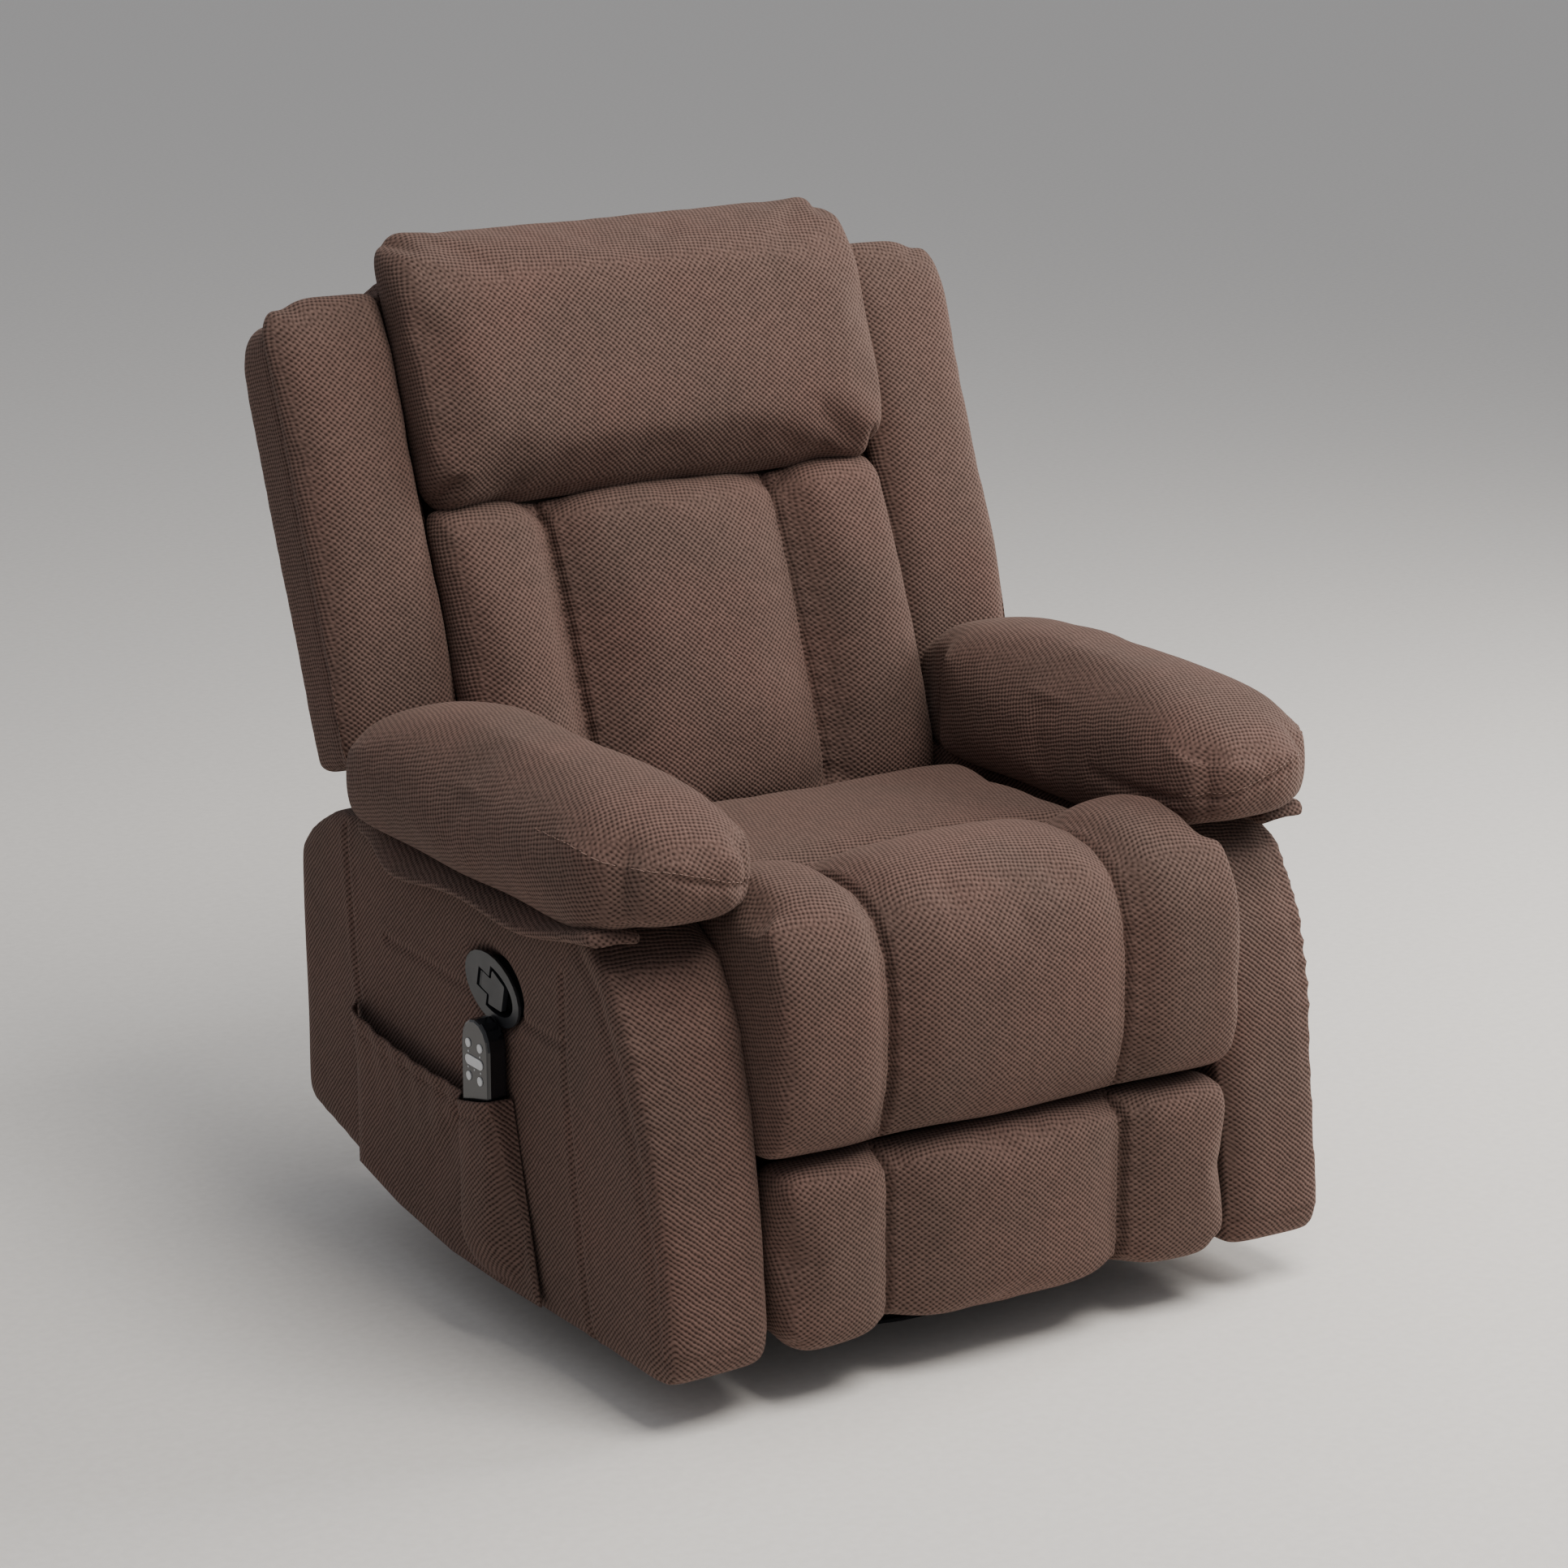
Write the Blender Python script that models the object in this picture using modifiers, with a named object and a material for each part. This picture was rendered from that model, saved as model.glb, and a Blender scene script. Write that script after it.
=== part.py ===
"""A rocking, swivelling massage recliner, built from the floor up: a round swivel base, a sprung
rocker stand, the steel mechanism, the upholstered body, the reclining back and the footrest.

Metres, +Z up. The chair faces -Y, so left and right are as seen from in front of it.
The origin is on the floor, on the swivel's axis.
"""

import math

import bmesh
import bpy
from mathutils import Euler, Vector

# Driving dimensions
GAP = 0.0003
ARM_INNER = 0.282
ARM_OUTER = 0.410
ARM_WALL = 0.014
PAD_INNER = 0.255
PAD_OUTER = 0.447
ARM_TOP = 0.485
FRONT = -0.440
CUSHION_HALF = 0.279
FRAME_BOTTOM = 0.2853
FRAME_TOP = 0.345
RING_OUTER = 0.290
RING_INNER = 0.264
ROCK_PIVOT = (0.0, 0.130)
BACK_PIVOT = (0.220, 0.430)
BACK_TILT = math.radians(21)
BACK_HALF = 0.420
TAIL_RADIUS = 0.105
BACK_CUSHION = ((-0.066, -0.020), (-0.108, -0.020), (-0.121, 0.020), (-0.125, 0.090), (-0.125, 0.250),
                (-0.118, 0.320), (-0.095, 0.348), (-0.066, 0.348))
HOLE_PLAY = 0.0006
PIN_RADIUS = 0.006

# Footrest linkage, in the (Y, Z) plane: angles are from straight down and from straight up,
# positive towards the front.
DRIVE_PIVOT = (-0.2995, 0.2407)
DRIVE_LENGTH = 0.1666
DRIVE_ANGLE = math.radians(-46.57)
LONG_LENGTH = 0.1743
LONG_ANGLE = math.radians(52.87)
LINK_THICK = 0.004
RAIL_X = 0.225
DRIVE_X = 0.231
LONG_X = 0.237
EAR_X = 0.243

# Release lever, in the outer side of the left arm
LEVER_CENTRE = (-0.0955, 0.377)
LEVER_TILT = math.radians(13.6)
LEVER_HINGE_U = 0.0235

# Remote control, standing in the side pocket
REMOTE_CENTRE_Y = -0.100
REMOTE_FACE = -0.4368
REMOTE_BACK = -0.4145
POCKET_FACE = -0.4412
POCKET_WALL = 0.0032

# Vibration motors
MOTOR_RADIUS = 0.031
MOTOR_DEPTH = 0.024
MOTOR_WALL = 0.004
BACK_MOTOR_X = 0.130
BACK_MOTOR_Z = 0.170

# Looks: colour, roughness, metallic
CHENILLE = ((0.092, 0.056, 0.046), 0.90, 0.0)
BLACK_STEEL = ((0.020, 0.020, 0.022), 0.45, 0.8)
ZINC_STEEL = ((0.55, 0.55, 0.56), 0.35, 1.0)
SPRING_STEEL = ((0.30, 0.30, 0.31), 0.40, 1.0)
PLYWOOD = ((0.058, 0.038, 0.025), 0.65, 0.0)
RUBBER = ((0.015, 0.015, 0.015), 0.85, 0.0)
CHARCOAL = ((0.045, 0.047, 0.050), 0.45, 0.0)
GLOSS_BLACK = ((0.010, 0.010, 0.011), 0.15, 0.0)
BUTTON_WHITE = ((0.80, 0.80, 0.78), 0.40, 0.0)
LINING = ((0.020, 0.018, 0.018), 0.95, 0.0)
HEAT_FELT = ((0.35, 0.05, 0.03), 0.95, 0.0)

CHAIR = "massage_chair"
CUTTERS = "cutters"


# Scene, materials and outlines

def clear_scene():
    for thing in list(bpy.data.objects):
        bpy.data.objects.remove(thing, do_unlink=True)
    for name in (CHAIR, CUTTERS):
        group = bpy.data.collections.new(name)
        bpy.context.scene.collection.children.link(group)


def painted(thing, look):
    colour, roughness, metallic = look
    material = bpy.data.materials.new(f"{thing.name}_finish")
    material.use_nodes = True
    shader = material.node_tree.nodes["Principled BSDF"]
    shader.inputs["Base Color"].default_value = (*colour, 1)
    shader.inputs["Roughness"].default_value = roughness
    shader.inputs["Metallic"].default_value = metallic
    thing.data.materials.append(material)
    return thing


def placed(thing, look, parent=None):
    """Puts a sub-part in the chair's collection, or a cutter, which has no look, with the cutters."""
    thing.parent = parent
    if look:
        bpy.data.collections[CHAIR].objects.link(thing)
        return painted(thing, look)
    bpy.data.collections[CUTTERS].objects.link(thing)
    thing.hide_render = True
    thing.display_type = "WIRE"
    return thing


def arc(centre, radius, start, end, steps):
    """Points along a circle, from start to end in degrees."""
    angles = [math.radians(start + (end - start) * i / steps) for i in range(steps + 1)]
    return [(centre[0] + radius * math.cos(a), centre[1] + radius * math.sin(a)) for a in angles]


def circle(centre, radius, sides=20):
    return arc(centre, radius, 0, 360 - 360 / sides, sides - 1)


def rectangle(low, high):
    return [(low[0], low[1]), (high[0], low[1]), (high[0], high[1]), (low[0], high[1])]


def rounded(points, radius, steps=3):
    """The outline with each corner replaced by an arc, or a smaller one where its sides are short."""
    result = []
    for i, (u, v) in enumerate(points):
        before = points[i - 1]
        after = points[(i + 1) % len(points)]
        back = (before[0] - u, before[1] - v)
        on = (after[0] - u, after[1] - v)
        back_length = math.hypot(*back)
        on_length = math.hypot(*on)
        dot = (back[0] * on[0] + back[1] * on[1]) / (back_length * on_length)
        half = math.acos(max(-1.0, min(1.0, dot))) / 2
        reach = min(radius / math.tan(half), 0.45 * back_length, 0.45 * on_length)
        start = (u + back[0] / back_length * reach, v + back[1] / back_length * reach)
        end = (u + on[0] / on_length * reach, v + on[1] / on_length * reach)
        for k in range(steps + 1):
            t = k / steps
            result.append(tuple(
                (1 - t) ** 2 * start[axis] + 2 * t * (1 - t) * (u, v)[axis] + t * t * end[axis]
                for axis in (0, 1)
            ))
    return result


def turned_outline(points, centre, angle):
    """An outline turned about its own zero and moved to a centre."""
    cos, sin = math.cos(angle), math.sin(angle)
    return [(centre[0] + u * cos - v * sin, centre[1] + u * sin + v * cos) for u, v in points]


# Solids

TURN_TO = {"X": (math.pi / 2, 0, math.pi / 2), "Y": (math.pi / 2, 0, 0), "Z": (0, 0, 0)}


def prism(name, outline, low, high, look=None, axis="X", holes=(), soften=0.0, parent=None):
    """A flat outline extruded from low to high along X, Y or Z, as a mesh with softened rims.

    The outline is in (Y, Z) for X, in (X, Z) for Y and in (X, Y) for Z.
    """
    curve = bpy.data.curves.new(name, "CURVE")
    curve.dimensions = "2D"
    curve.fill_mode = "BOTH"
    curve.extrude = (high - low) / 2
    for loop in (outline, *holes):
        spline = curve.splines.new("POLY")
        spline.points.add(len(loop) - 1)
        for point, (u, v) in zip(spline.points, loop):
            point.co = (u, v, 0, 1)
        spline.use_cyclic_u = True
    flat = bpy.data.objects.new(name, curve)
    bpy.context.scene.collection.objects.link(flat)
    mesh = welded_mesh(flat, flatten=not holes)
    solid = bpy.data.objects.new(name, mesh)
    solid.rotation_euler = TURN_TO[axis]
    solid.location["XYZ".index(axis)] = (low + high) / 2
    if soften:
        bevel = solid.modifiers.new("soft_rim", "BEVEL")
        bevel.width = soften
        bevel.segments = 2
        bevel.limit_method = "ANGLE"
        bevel.angle_limit = math.radians(50)
        bevel.use_clamp_overlap = False
    return placed(solid, look, parent)


def welded_mesh(curve_object, flatten=False):
    """The curve object's shape as a closed mesh; the curve object is removed."""
    bpy.context.view_layer.update()
    shape = curve_object.evaluated_get(bpy.context.evaluated_depsgraph_get())
    mesh = bpy.data.meshes.new_from_object(shape)
    name = curve_object.name
    bpy.data.objects.remove(curve_object, do_unlink=True)
    mesh.name = name
    work = bmesh.new()
    work.from_mesh(mesh)
    bmesh.ops.remove_doubles(work, verts=work.verts, dist=0.00001)
    if flatten:
        bmesh.ops.dissolve_limit(work, angle_limit=0.001, verts=work.verts, edges=work.edges)
    bmesh.ops.recalc_face_normals(work, faces=work.faces)
    work.to_mesh(mesh)
    work.free()
    return mesh


def turned(name, profile, look=None, steps=32, location=(0, 0, 0), turn=(0, 0, 0), ring=False,
           parent=None):
    """A profile of (radius, height) turned about Z, from its top down its outer side."""
    mesh = bpy.data.meshes.new(name)
    edges = [(i, i + 1) for i in range(len(profile) - 1)]
    if ring:
        edges.append((len(profile) - 1, 0))
    mesh.from_pydata([(r, 0, z) for r, z in profile], edges, [])
    solid = bpy.data.objects.new(name, mesh)
    solid.location = location
    solid.rotation_euler = turn
    screw = solid.modifiers.new("turn", "SCREW")
    screw.steps = steps
    screw.render_steps = steps
    screw.use_merge_vertices = True
    screw.merge_threshold = 0.00001
    return placed(solid, look, parent)


def combined(base, other, operation):
    """Base with another solid joined to it (UNION) or cut away from it (DIFFERENCE)."""
    step = base.modifiers.new(other.name, "BOOLEAN")
    step.operation = operation
    step.solver = "EXACT"
    step.object = other
    return base


def wire(name, points, radius, look):
    curve = bpy.data.curves.new(name, "CURVE")
    curve.dimensions = "3D"
    curve.bevel_depth = radius
    curve.bevel_resolution = 2
    curve.use_fill_caps = True
    spline = curve.splines.new("POLY")
    spline.points.add(len(points) - 1)
    for point, place in zip(spline.points, points):
        point.co = (*place, 1)
    return placed(bpy.data.objects.new(name, curve), look)


def span(side, near, far):
    """Low and high X of a piece that lies from near to far from the middle, on one side."""
    return (near, far) if side > 0 else (-far, -near)


SIDES = (("left", -1), ("right", 1))


# Base and turntable

def build_base():
    turned("base_rubber_foot", [(0.286, 0.0037), (0.286, 0), (0.268, 0), (0.268, 0.0037)],
           RUBBER, steps=48, ring=True)
    section = rounded(rectangle((RING_INNER, 0.004), (RING_OUTER, 0.030)), 0.008, 1)
    section.reverse()
    turned("base_ring", section, BLACK_STEEL, steps=48, ring=True)
    reach = RING_INNER - 0.002
    half = 0.020
    corner = [(reach, -half), (reach, half), (half, half), (half, reach)]
    cross = [turned_outline([p], (0, 0), math.pi / 2 * k)[0] for k in range(4) for p in corner[1:]]
    prism("base_crossbars", cross, 0.010, 0.022, BLACK_STEEL, axis="Z")


def build_turntable():
    hole = PIN_RADIUS + HOLE_PLAY
    turned("turntable_lower_plate", [(0.080, 0.0260), (0.080, 0.0223), (hole, 0.0223), (hole, 0.0260)],
           ZINC_STEEL, ring=True)
    race = rounded(rectangle((0.052, 0.0263), (0.070, 0.0330)), 0.002, 1)
    race.reverse()
    turned("turntable_ball_race", race, ZINC_STEEL, ring=True)
    turned("turntable_upper_plate", [(0.080, 0.0370), (0.080, 0.0333), (hole, 0.0333), (hole, 0.0370)],
           ZINC_STEEL, ring=True)
    turned("turntable_spindle", [(0, 0.0403), (0.011, 0.0403), (0.011, 0.0373), (PIN_RADIUS, 0.0373),
                                 (PIN_RADIUS, 0.0223), (0, 0.0223)], ZINC_STEEL, steps=20)


def build_rocker_stand():
    """The plate on the turntable, with an ear and a pin each side for the rocker to hang on."""
    stand = prism("rocker_stand", rounded(rectangle((-0.135, -0.108), (0.135, 0.108)), 0.02),
                  0.0373, 0.0423, BLACK_STEEL, axis="Z", holes=[circle((0, 0), 0.0125)])
    ear = [(-0.085, 0.040), (0.085, 0.040), *arc(ROCK_PIVOT, 0.020, 30, 150, 6)]
    for side_name, side in SIDES:
        low, high = span(side, 0.124, 0.130)
        plate = prism(f"stand_ear_{side_name}", ear, low, high,
                      holes=[circle(ROCK_PIVOT, PIN_RADIUS + HOLE_PLAY)])
        combined(stand, plate, "UNION")
        headed_pin(f"rocker_pin_{side_name}", side, (0.1195, 0.1235, 0.1390, 0.1430), ROCK_PIVOT)
    for end_name, y in (("front", -0.085), ("rear", 0.085)):
        turns, per_turn, low_z, high_z = 6, 8, 0.0447, 0.1577
        count = turns * per_turn
        points = []
        for i in range(count + 1):
            angle = 2 * math.pi * i / per_turn
            z = low_z + (high_z - low_z) * i / count
            points.append((0.018 * math.cos(angle), y + 0.018 * math.sin(angle), z))
        wire(f"rocker_spring_{end_name}", points, 0.002, SPRING_STEEL)


def headed_pin(name, side, stations, centre, head=0.0105):
    """A pin along X with a head at each end; stations are the heads' faces, from the middle out."""
    inner, shoulder, far_shoulder, outer = stations
    profile = [(0, outer), (head, outer), (head, far_shoulder), (PIN_RADIUS, far_shoulder),
               (PIN_RADIUS, shoulder), (head, shoulder), (head, inner), (0, inner)]
    turned(name, profile, ZINC_STEEL, steps=20, location=(0, *centre), turn=(0, side * math.pi / 2, 0))


# Rocking steel mechanism

def build_mechanism():
    tube_y, tube_z, tube_half = 0.085, 0.170, 0.010
    seats = [rectangle((y - tube_half - GAP, tube_z - tube_half - GAP),
                       (y + tube_half + GAP, tube_z + tube_half + GAP)) for y in (-tube_y, tube_y)]
    cam = rounded([(-0.105, 0.187), (-0.105, 0.150), (-0.034, 0.094), (0.034, 0.094),
                   (0.105, 0.150), (0.105, 0.187)], 0.012)
    rail = rounded([(-0.318, 0.285), (-0.318, 0.226), (-0.125, 0.226), (-0.112, 0.150),
                    (0.112, 0.150), (0.125, 0.226), (0.235, 0.245), (0.235, 0.285)], 0.008, 2)
    for side_name, side in SIDES:
        prism(f"rocker_cam_{side_name}", cam, *span(side, 0.1330, 0.1380), BLACK_STEEL,
              holes=[circle(ROCK_PIVOT, PIN_RADIUS + HOLE_PLAY), *seats])
        prism(f"mechanism_rail_{side_name}", rail, *span(side, RAIL_X, RAIL_X + LINK_THICK),
              BLACK_STEEL, holes=[circle(DRIVE_PIVOT, 0.005 + HOLE_PLAY, 16)])
    for end_name, y in (("front", -tube_y), ("rear", tube_y)):
        outer = rectangle((y - tube_half, tube_z - tube_half), (y + tube_half, tube_z + tube_half))
        bore = tube_half - 0.002
        inner = rectangle((y - bore, tube_z - bore), (y + bore, tube_z + bore))
        reach = RAIL_X - GAP
        prism(f"cross_tube_{end_name}", outer, -reach, reach, BLACK_STEEL, holes=[inner])


# Seat

def build_seat():
    reach = ARM_INNER - GAP
    frame = prism("seat_frame", rectangle((-reach, -0.332), (reach, 0.150)), FRAME_BOTTOM, FRAME_TOP,
                  PLYWOOD, axis="Z", holes=[rectangle((-0.222, -0.302), (0.222, 0.120))])
    slat = prism("seat_slat", rectangle((-0.040, -0.305), (0.040, 0.123)), FRAME_BOTTOM + 0.002,
                 FRAME_BOTTOM + 0.015, axis="Z")
    combined(frame, slat, "UNION")

    wire_radius = 0.0018
    level = FRAME_TOP + GAP + wire_radius
    points = []
    for run, x in enumerate((-0.16, -0.08, 0.0, 0.08, 0.16)):
        stations = [-0.317 + 0.452 * k / 11 for k in range(12)]
        if run % 2:
            stations.reverse()
        points += [(x + 0.018 * (-1) ** k, y, level) for k, y in enumerate(stations)]
    wire("seat_springs", points, wire_radius, SPRING_STEEL)

    bottom = 0.3496
    cushion = [(-0.2335, bottom), (-0.2335, 0.490), (-0.10, 0.493), (0.035, 0.490), (0.080, 0.470),
               (0.084, bottom)]
    rear = prism("seat_cushion", rounded(cushion, 0.024, 3), -CUSHION_HALF, CUSHION_HALF, CHENILLE,
                 soften=0.010)
    bolster = [(-0.2365, bottom), (-0.2365, 0.499), (-0.275, 0.521), (-0.319, 0.527), (-0.365, 0.520),
               (-0.405, 0.497), (-0.432, 0.455), (FRONT, 0.400), (FRONT, 0.330), (-0.430, 0.282),
               (-0.400, 0.2590), (-0.354, 0.2590), (-0.338, 0.275), (-0.338, 0.353)]
    front = prism("seat_bolster", rounded(bolster, 0.014, 2), -CUSHION_HALF, CUSHION_HALF, CHENILLE,
                  soften=0.008)
    for side_name, side in SIDES:
        room = prism(f"pad_room_{side_name}", rectangle((-0.392, ARM_TOP + 0.001), (0.200, 0.600)),
                     *span(side, PAD_INNER - 0.0035, ARM_INNER + 0.020))
        combined(rear, room, "DIFFERENCE")
        combined(front, room, "DIFFERENCE")


# Arms, rear panel and pocket

def ellipse(centre, half_length, half_height, tilt, sides=24, start=0.0, end=360.0):
    """Points round a tilted ellipse, in its own angles from start to end in degrees."""
    whole = end - start >= 360
    count = sides if whole else sides + 1
    angles = [math.radians(start + (end - start) * i / sides) for i in range(count)]
    points = [(half_length * math.cos(a), half_height * math.sin(a)) for a in angles]
    return turned_outline(points, centre, tilt)


def build_arms():
    side_outline = [(-0.416, 0.052), (-0.063, 0.050), (0.066, 0.062), (0.181, 0.083), (0.273, 0.108),
                    (0.353, 0.128), (0.357, 0.415), (0.325, 0.446), (0.273, 0.474), (0.200, ARM_TOP),
                    (-0.270, 0.482), (-0.324, 0.447), (-0.365, 0.377), (-0.393, 0.295),
                    (-0.414, 0.194), (-0.428, 0.081)]
    hollow_outline = [(-0.398, 0.020), (0.343, 0.020), (0.343, 0.408), (0.315, 0.434), (0.268, 0.459),
                      (0.198, 0.470), (-0.262, 0.467), (-0.311, 0.438), (-0.351, 0.372),
                      (-0.379, 0.290), (-0.398, 0.190)]
    pad_outline = [(0.188, 0.490), (-0.290, 0.490), (-0.385, 0.512), (-0.385, 0.608), (-0.290, 0.631),
                   (0.050, 0.632), (0.145, 0.618), (0.188, 0.588)]
    cushion_sweep = rectangle((0.098, 0.470), (0.200, 0.660))
    for side_name, side in SIDES:
        body = prism(f"arm_{side_name}_body", rounded(side_outline, 0.012, 1),
                     *span(side, ARM_INNER, ARM_OUTER), CHENILLE, soften=0.010)
        hollow = prism(f"arm_{side_name}_hollow", hollow_outline,
                       *span(side, ARM_INNER + ARM_WALL, ARM_OUTER - ARM_WALL))
        combined(body, hollow, "DIFFERENCE")
        pin_hole = prism(f"recline_hole_{side_name}", circle(BACK_PIVOT, PIN_RADIUS + HOLE_PLAY),
                         *span(side, ARM_INNER - 0.01, ARM_INNER + ARM_WALL + 0.01))
        combined(body, pin_hole, "DIFFERENCE")
        if side < 0:
            cut_for_lever(body)
        headed_pin(f"recline_pin_{side_name}", side, (0.2515, 0.2555, 0.2964, 0.3000), BACK_PIVOT)
        pad = prism(f"arm_{side_name}_pad", rounded(pad_outline, 0.036, 3),
                    *span(side, PAD_INNER, PAD_OUTER), CHENILLE, soften=0.026)
        sweep = prism(f"cushion_room_{side_name}", cushion_sweep,
                      *span(side, 0.200, CUSHION_HALF + 0.003))
        combined(pad, sweep, "DIFFERENCE")


CABLE_CROSSING = (-0.050, 0.240)


def cut_for_lever(body):
    window = prism("lever_window", ellipse(LEVER_CENTRE, 0.0475, 0.0265, LEVER_TILT),
                   -ARM_OUTER - 0.02, -ARM_OUTER + ARM_WALL + 0.005)
    combined(body, window, "DIFFERENCE")
    passage = prism("cable_passage", circle(CABLE_CROSSING, 0.006, 12),
                    *span(-1, ARM_INNER - 0.01, ARM_INNER + ARM_WALL + 0.01))
    combined(body, passage, "DIFFERENCE")


INLET_PLACE = (-0.180, 0.190)


def build_rear():
    reach = ARM_INNER - GAP
    panel = rounded(rectangle((-reach, 0.130), (reach, 0.430)), 0.006, 2)
    prism("rear_panel", panel, 0.335, 0.345, CHENILLE, axis="Y",
          holes=[circle(INLET_PLACE, 0.0068, 20)])
    barrel = [(0, 0.0010), (0.0010, 0.0010), (0.0010, -0.0095), (0.0030, -0.0095), (0.0030, 0.0025),
              (0.0105, 0.0025), (0.0105, 0.0003), (0.0064, 0.0003), (0.0064, -0.0150), (0, -0.0150)]
    turned("power_inlet", barrel, GLOSS_BLACK, steps=20, location=(INLET_PLACE[0], 0.345, INLET_PLACE[1]),
           turn=(-math.pi / 2, 0, 0))
    box = rounded(rectangle((0.040, 0.150), (0.170, 0.225)), 0.006, 2)
    prism("control_box", box, 0.305, 0.335 - GAP, GLOSS_BLACK, axis="Y", soften=0.002)


def build_pocket():
    """A pouch on the left arm, open at the top, with the arm as its back."""
    hem = [(0.207, 0.280), (0.127, 0.266), (0.037, 0.259), (-0.068, 0.256), (-0.133, 0.275)]
    outline = [*hem, (-0.152, 0.167), (-0.188, 0.064), (0.000, 0.062), (0.120, 0.078), (0.207, 0.098)]
    wall = POCKET_WALL
    inside = [(0.207 - wall, 0.340), (-0.1295, 0.340), (-0.1295, 0.275), (-0.1486, 0.167),
              (-0.1838, 0.064 + wall), (-0.001, 0.062 + wall), (0.119, 0.078 + wall),
              (0.207 - wall, 0.098 + wall)]
    pocket = prism("side_pocket", outline, POCKET_FACE, -ARM_OUTER - GAP, CHENILLE)
    pouch = prism("pocket_inside", inside, POCKET_FACE + wall, -ARM_OUTER + 0.01)
    combined(pocket, pouch, "DIFFERENCE")


BUTTONS = (
    ("button_power", -0.012, 0.3225, 0.0048, 0.0),
    ("button_heat", 0.012, 0.3225, 0.0048, 0.0),
    ("button_mode", 0.0, 0.3050, 0.0052, 0.0125),
    ("button_back_zone", -0.0115, 0.2875, 0.0048, 0.0),
    ("button_seat_zone", 0.0115, 0.2875, 0.0048, 0.0),
)


def pill(centre, radius, half_straight, sides=6):
    """A circle stretched sideways by a straight run."""
    right = arc((centre[0] + half_straight, centre[1]), radius, -90, 90, sides)
    left = arc((centre[0] - half_straight, centre[1]), radius, 90, 270, sides)
    return right + left if half_straight else circle(centre, radius, 2 * sides)


def build_remote():
    half, bottom, top = 0.028, 0.222, 0.350
    body = [(REMOTE_CENTRE_Y - half, bottom), (REMOTE_CENTRE_Y + half, bottom),
            *arc((REMOTE_CENTRE_Y, top - half), half, 0, 180, 8)]
    shell = prism("remote_shell", body, REMOTE_FACE, REMOTE_BACK, GLOSS_BLACK, soften=0.003)
    for name, y, z, radius, stretch in BUTTONS:
        centre = (REMOTE_CENTRE_Y + y, z)
        well = prism(f"{name}_well", pill(centre, radius + GAP, stretch), REMOTE_FACE - 0.01,
                     REMOTE_FACE + 0.004)
        combined(shell, well, "DIFFERENCE")
        prism(name, pill(centre, radius, stretch), REMOTE_FACE - 0.001, REMOTE_FACE + 0.0028,
              BUTTON_WHITE)


# Release lever and its cable

def build_lever():
    face = -ARM_OUTER - GAP
    bezel = prism("lever_bezel", ellipse(LEVER_CENTRE, 0.056, 0.034, LEVER_TILT), face - 0.003, face,
                  CHARCOAL)
    cup = prism("bezel_cup", ellipse(LEVER_CENTRE, 0.047, 0.026, LEVER_TILT), face - 0.001, -0.392)
    combined(bezel, cup, "UNION")
    bowl = ellipse((0, 0), 0.044, 0.023, 0, 24, 80, 280)
    channel = [(0.0295, -0.0105), (0.0295, 0.0105)]
    neck = [(bowl[-1][0], -0.0105), *channel, (bowl[0][0], 0.0105)]
    recess = prism("bezel_recess", turned_outline(bowl + neck, LEVER_CENTRE, LEVER_TILT), -0.430,
                   -0.395)
    combined(bezel, recess, "DIFFERENCE")

    paddle = rounded([(-0.023, -0.0145), (0.004, -0.0195), (0.004, -0.0090), (0.0215, -0.0090),
                      (0.0215, 0.0090), (0.004, 0.0090), (0.004, 0.0195), (-0.023, 0.0145)], 0.002, 2)
    lever = prism("release_lever", turned_outline(paddle, LEVER_CENTRE, LEVER_TILT), -0.4130, -0.4075,
                  CHARCOAL)
    hinge_y, hinge_z = turned_outline([(LEVER_HINGE_U, 0)], LEVER_CENTRE, LEVER_TILT)[0]
    barrel = turned("lever_barrel", [(0, 0.0085), (0.003, 0.0085), (0.003, -0.0085), (0, -0.0085)],
                    steps=16, location=(-0.4102, hinge_y, hinge_z), turn=(LEVER_TILT, 0, 0))
    combined(lever, barrel, "UNION")


def build_cable():
    """The sheathed release cable, from the back of the lever's cup down to the left rail."""
    crossing_y, crossing_z = CABLE_CROSSING
    ends = [(-0.3900, LEVER_CENTRE[0], LEVER_CENTRE[1]), (-0.352, -0.094, 0.362),
            (-0.341, -0.075, 0.300), (-0.320, crossing_y, crossing_z)]
    last = (-RAIL_X - LINK_THICK - GAP, crossing_y, crossing_z)
    points = [bezier(ends, k / 11) for k in range(12)]
    wire("release_cable", [*points, last], 0.0025, RUBBER)


def bezier(ends, t):
    """A point on the cubic curve that the four points shape."""
    weights = ((1 - t) ** 3, 3 * t * (1 - t) ** 2, 3 * t * t * (1 - t), t ** 3)
    return tuple(sum(w * p[axis] for w, p in zip(weights, ends)) for axis in range(3))


# Reclining back. Its parts are drawn upright about the recline pins and lean with the empty.

def back_hinge():
    hinge = bpy.data.objects.new("back_hinge", None)
    hinge.location = (0, *BACK_PIVOT)
    hinge.rotation_euler = (-BACK_TILT, 0, 0)
    bpy.data.collections[CHAIR].objects.link(hinge)
    return hinge


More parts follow.
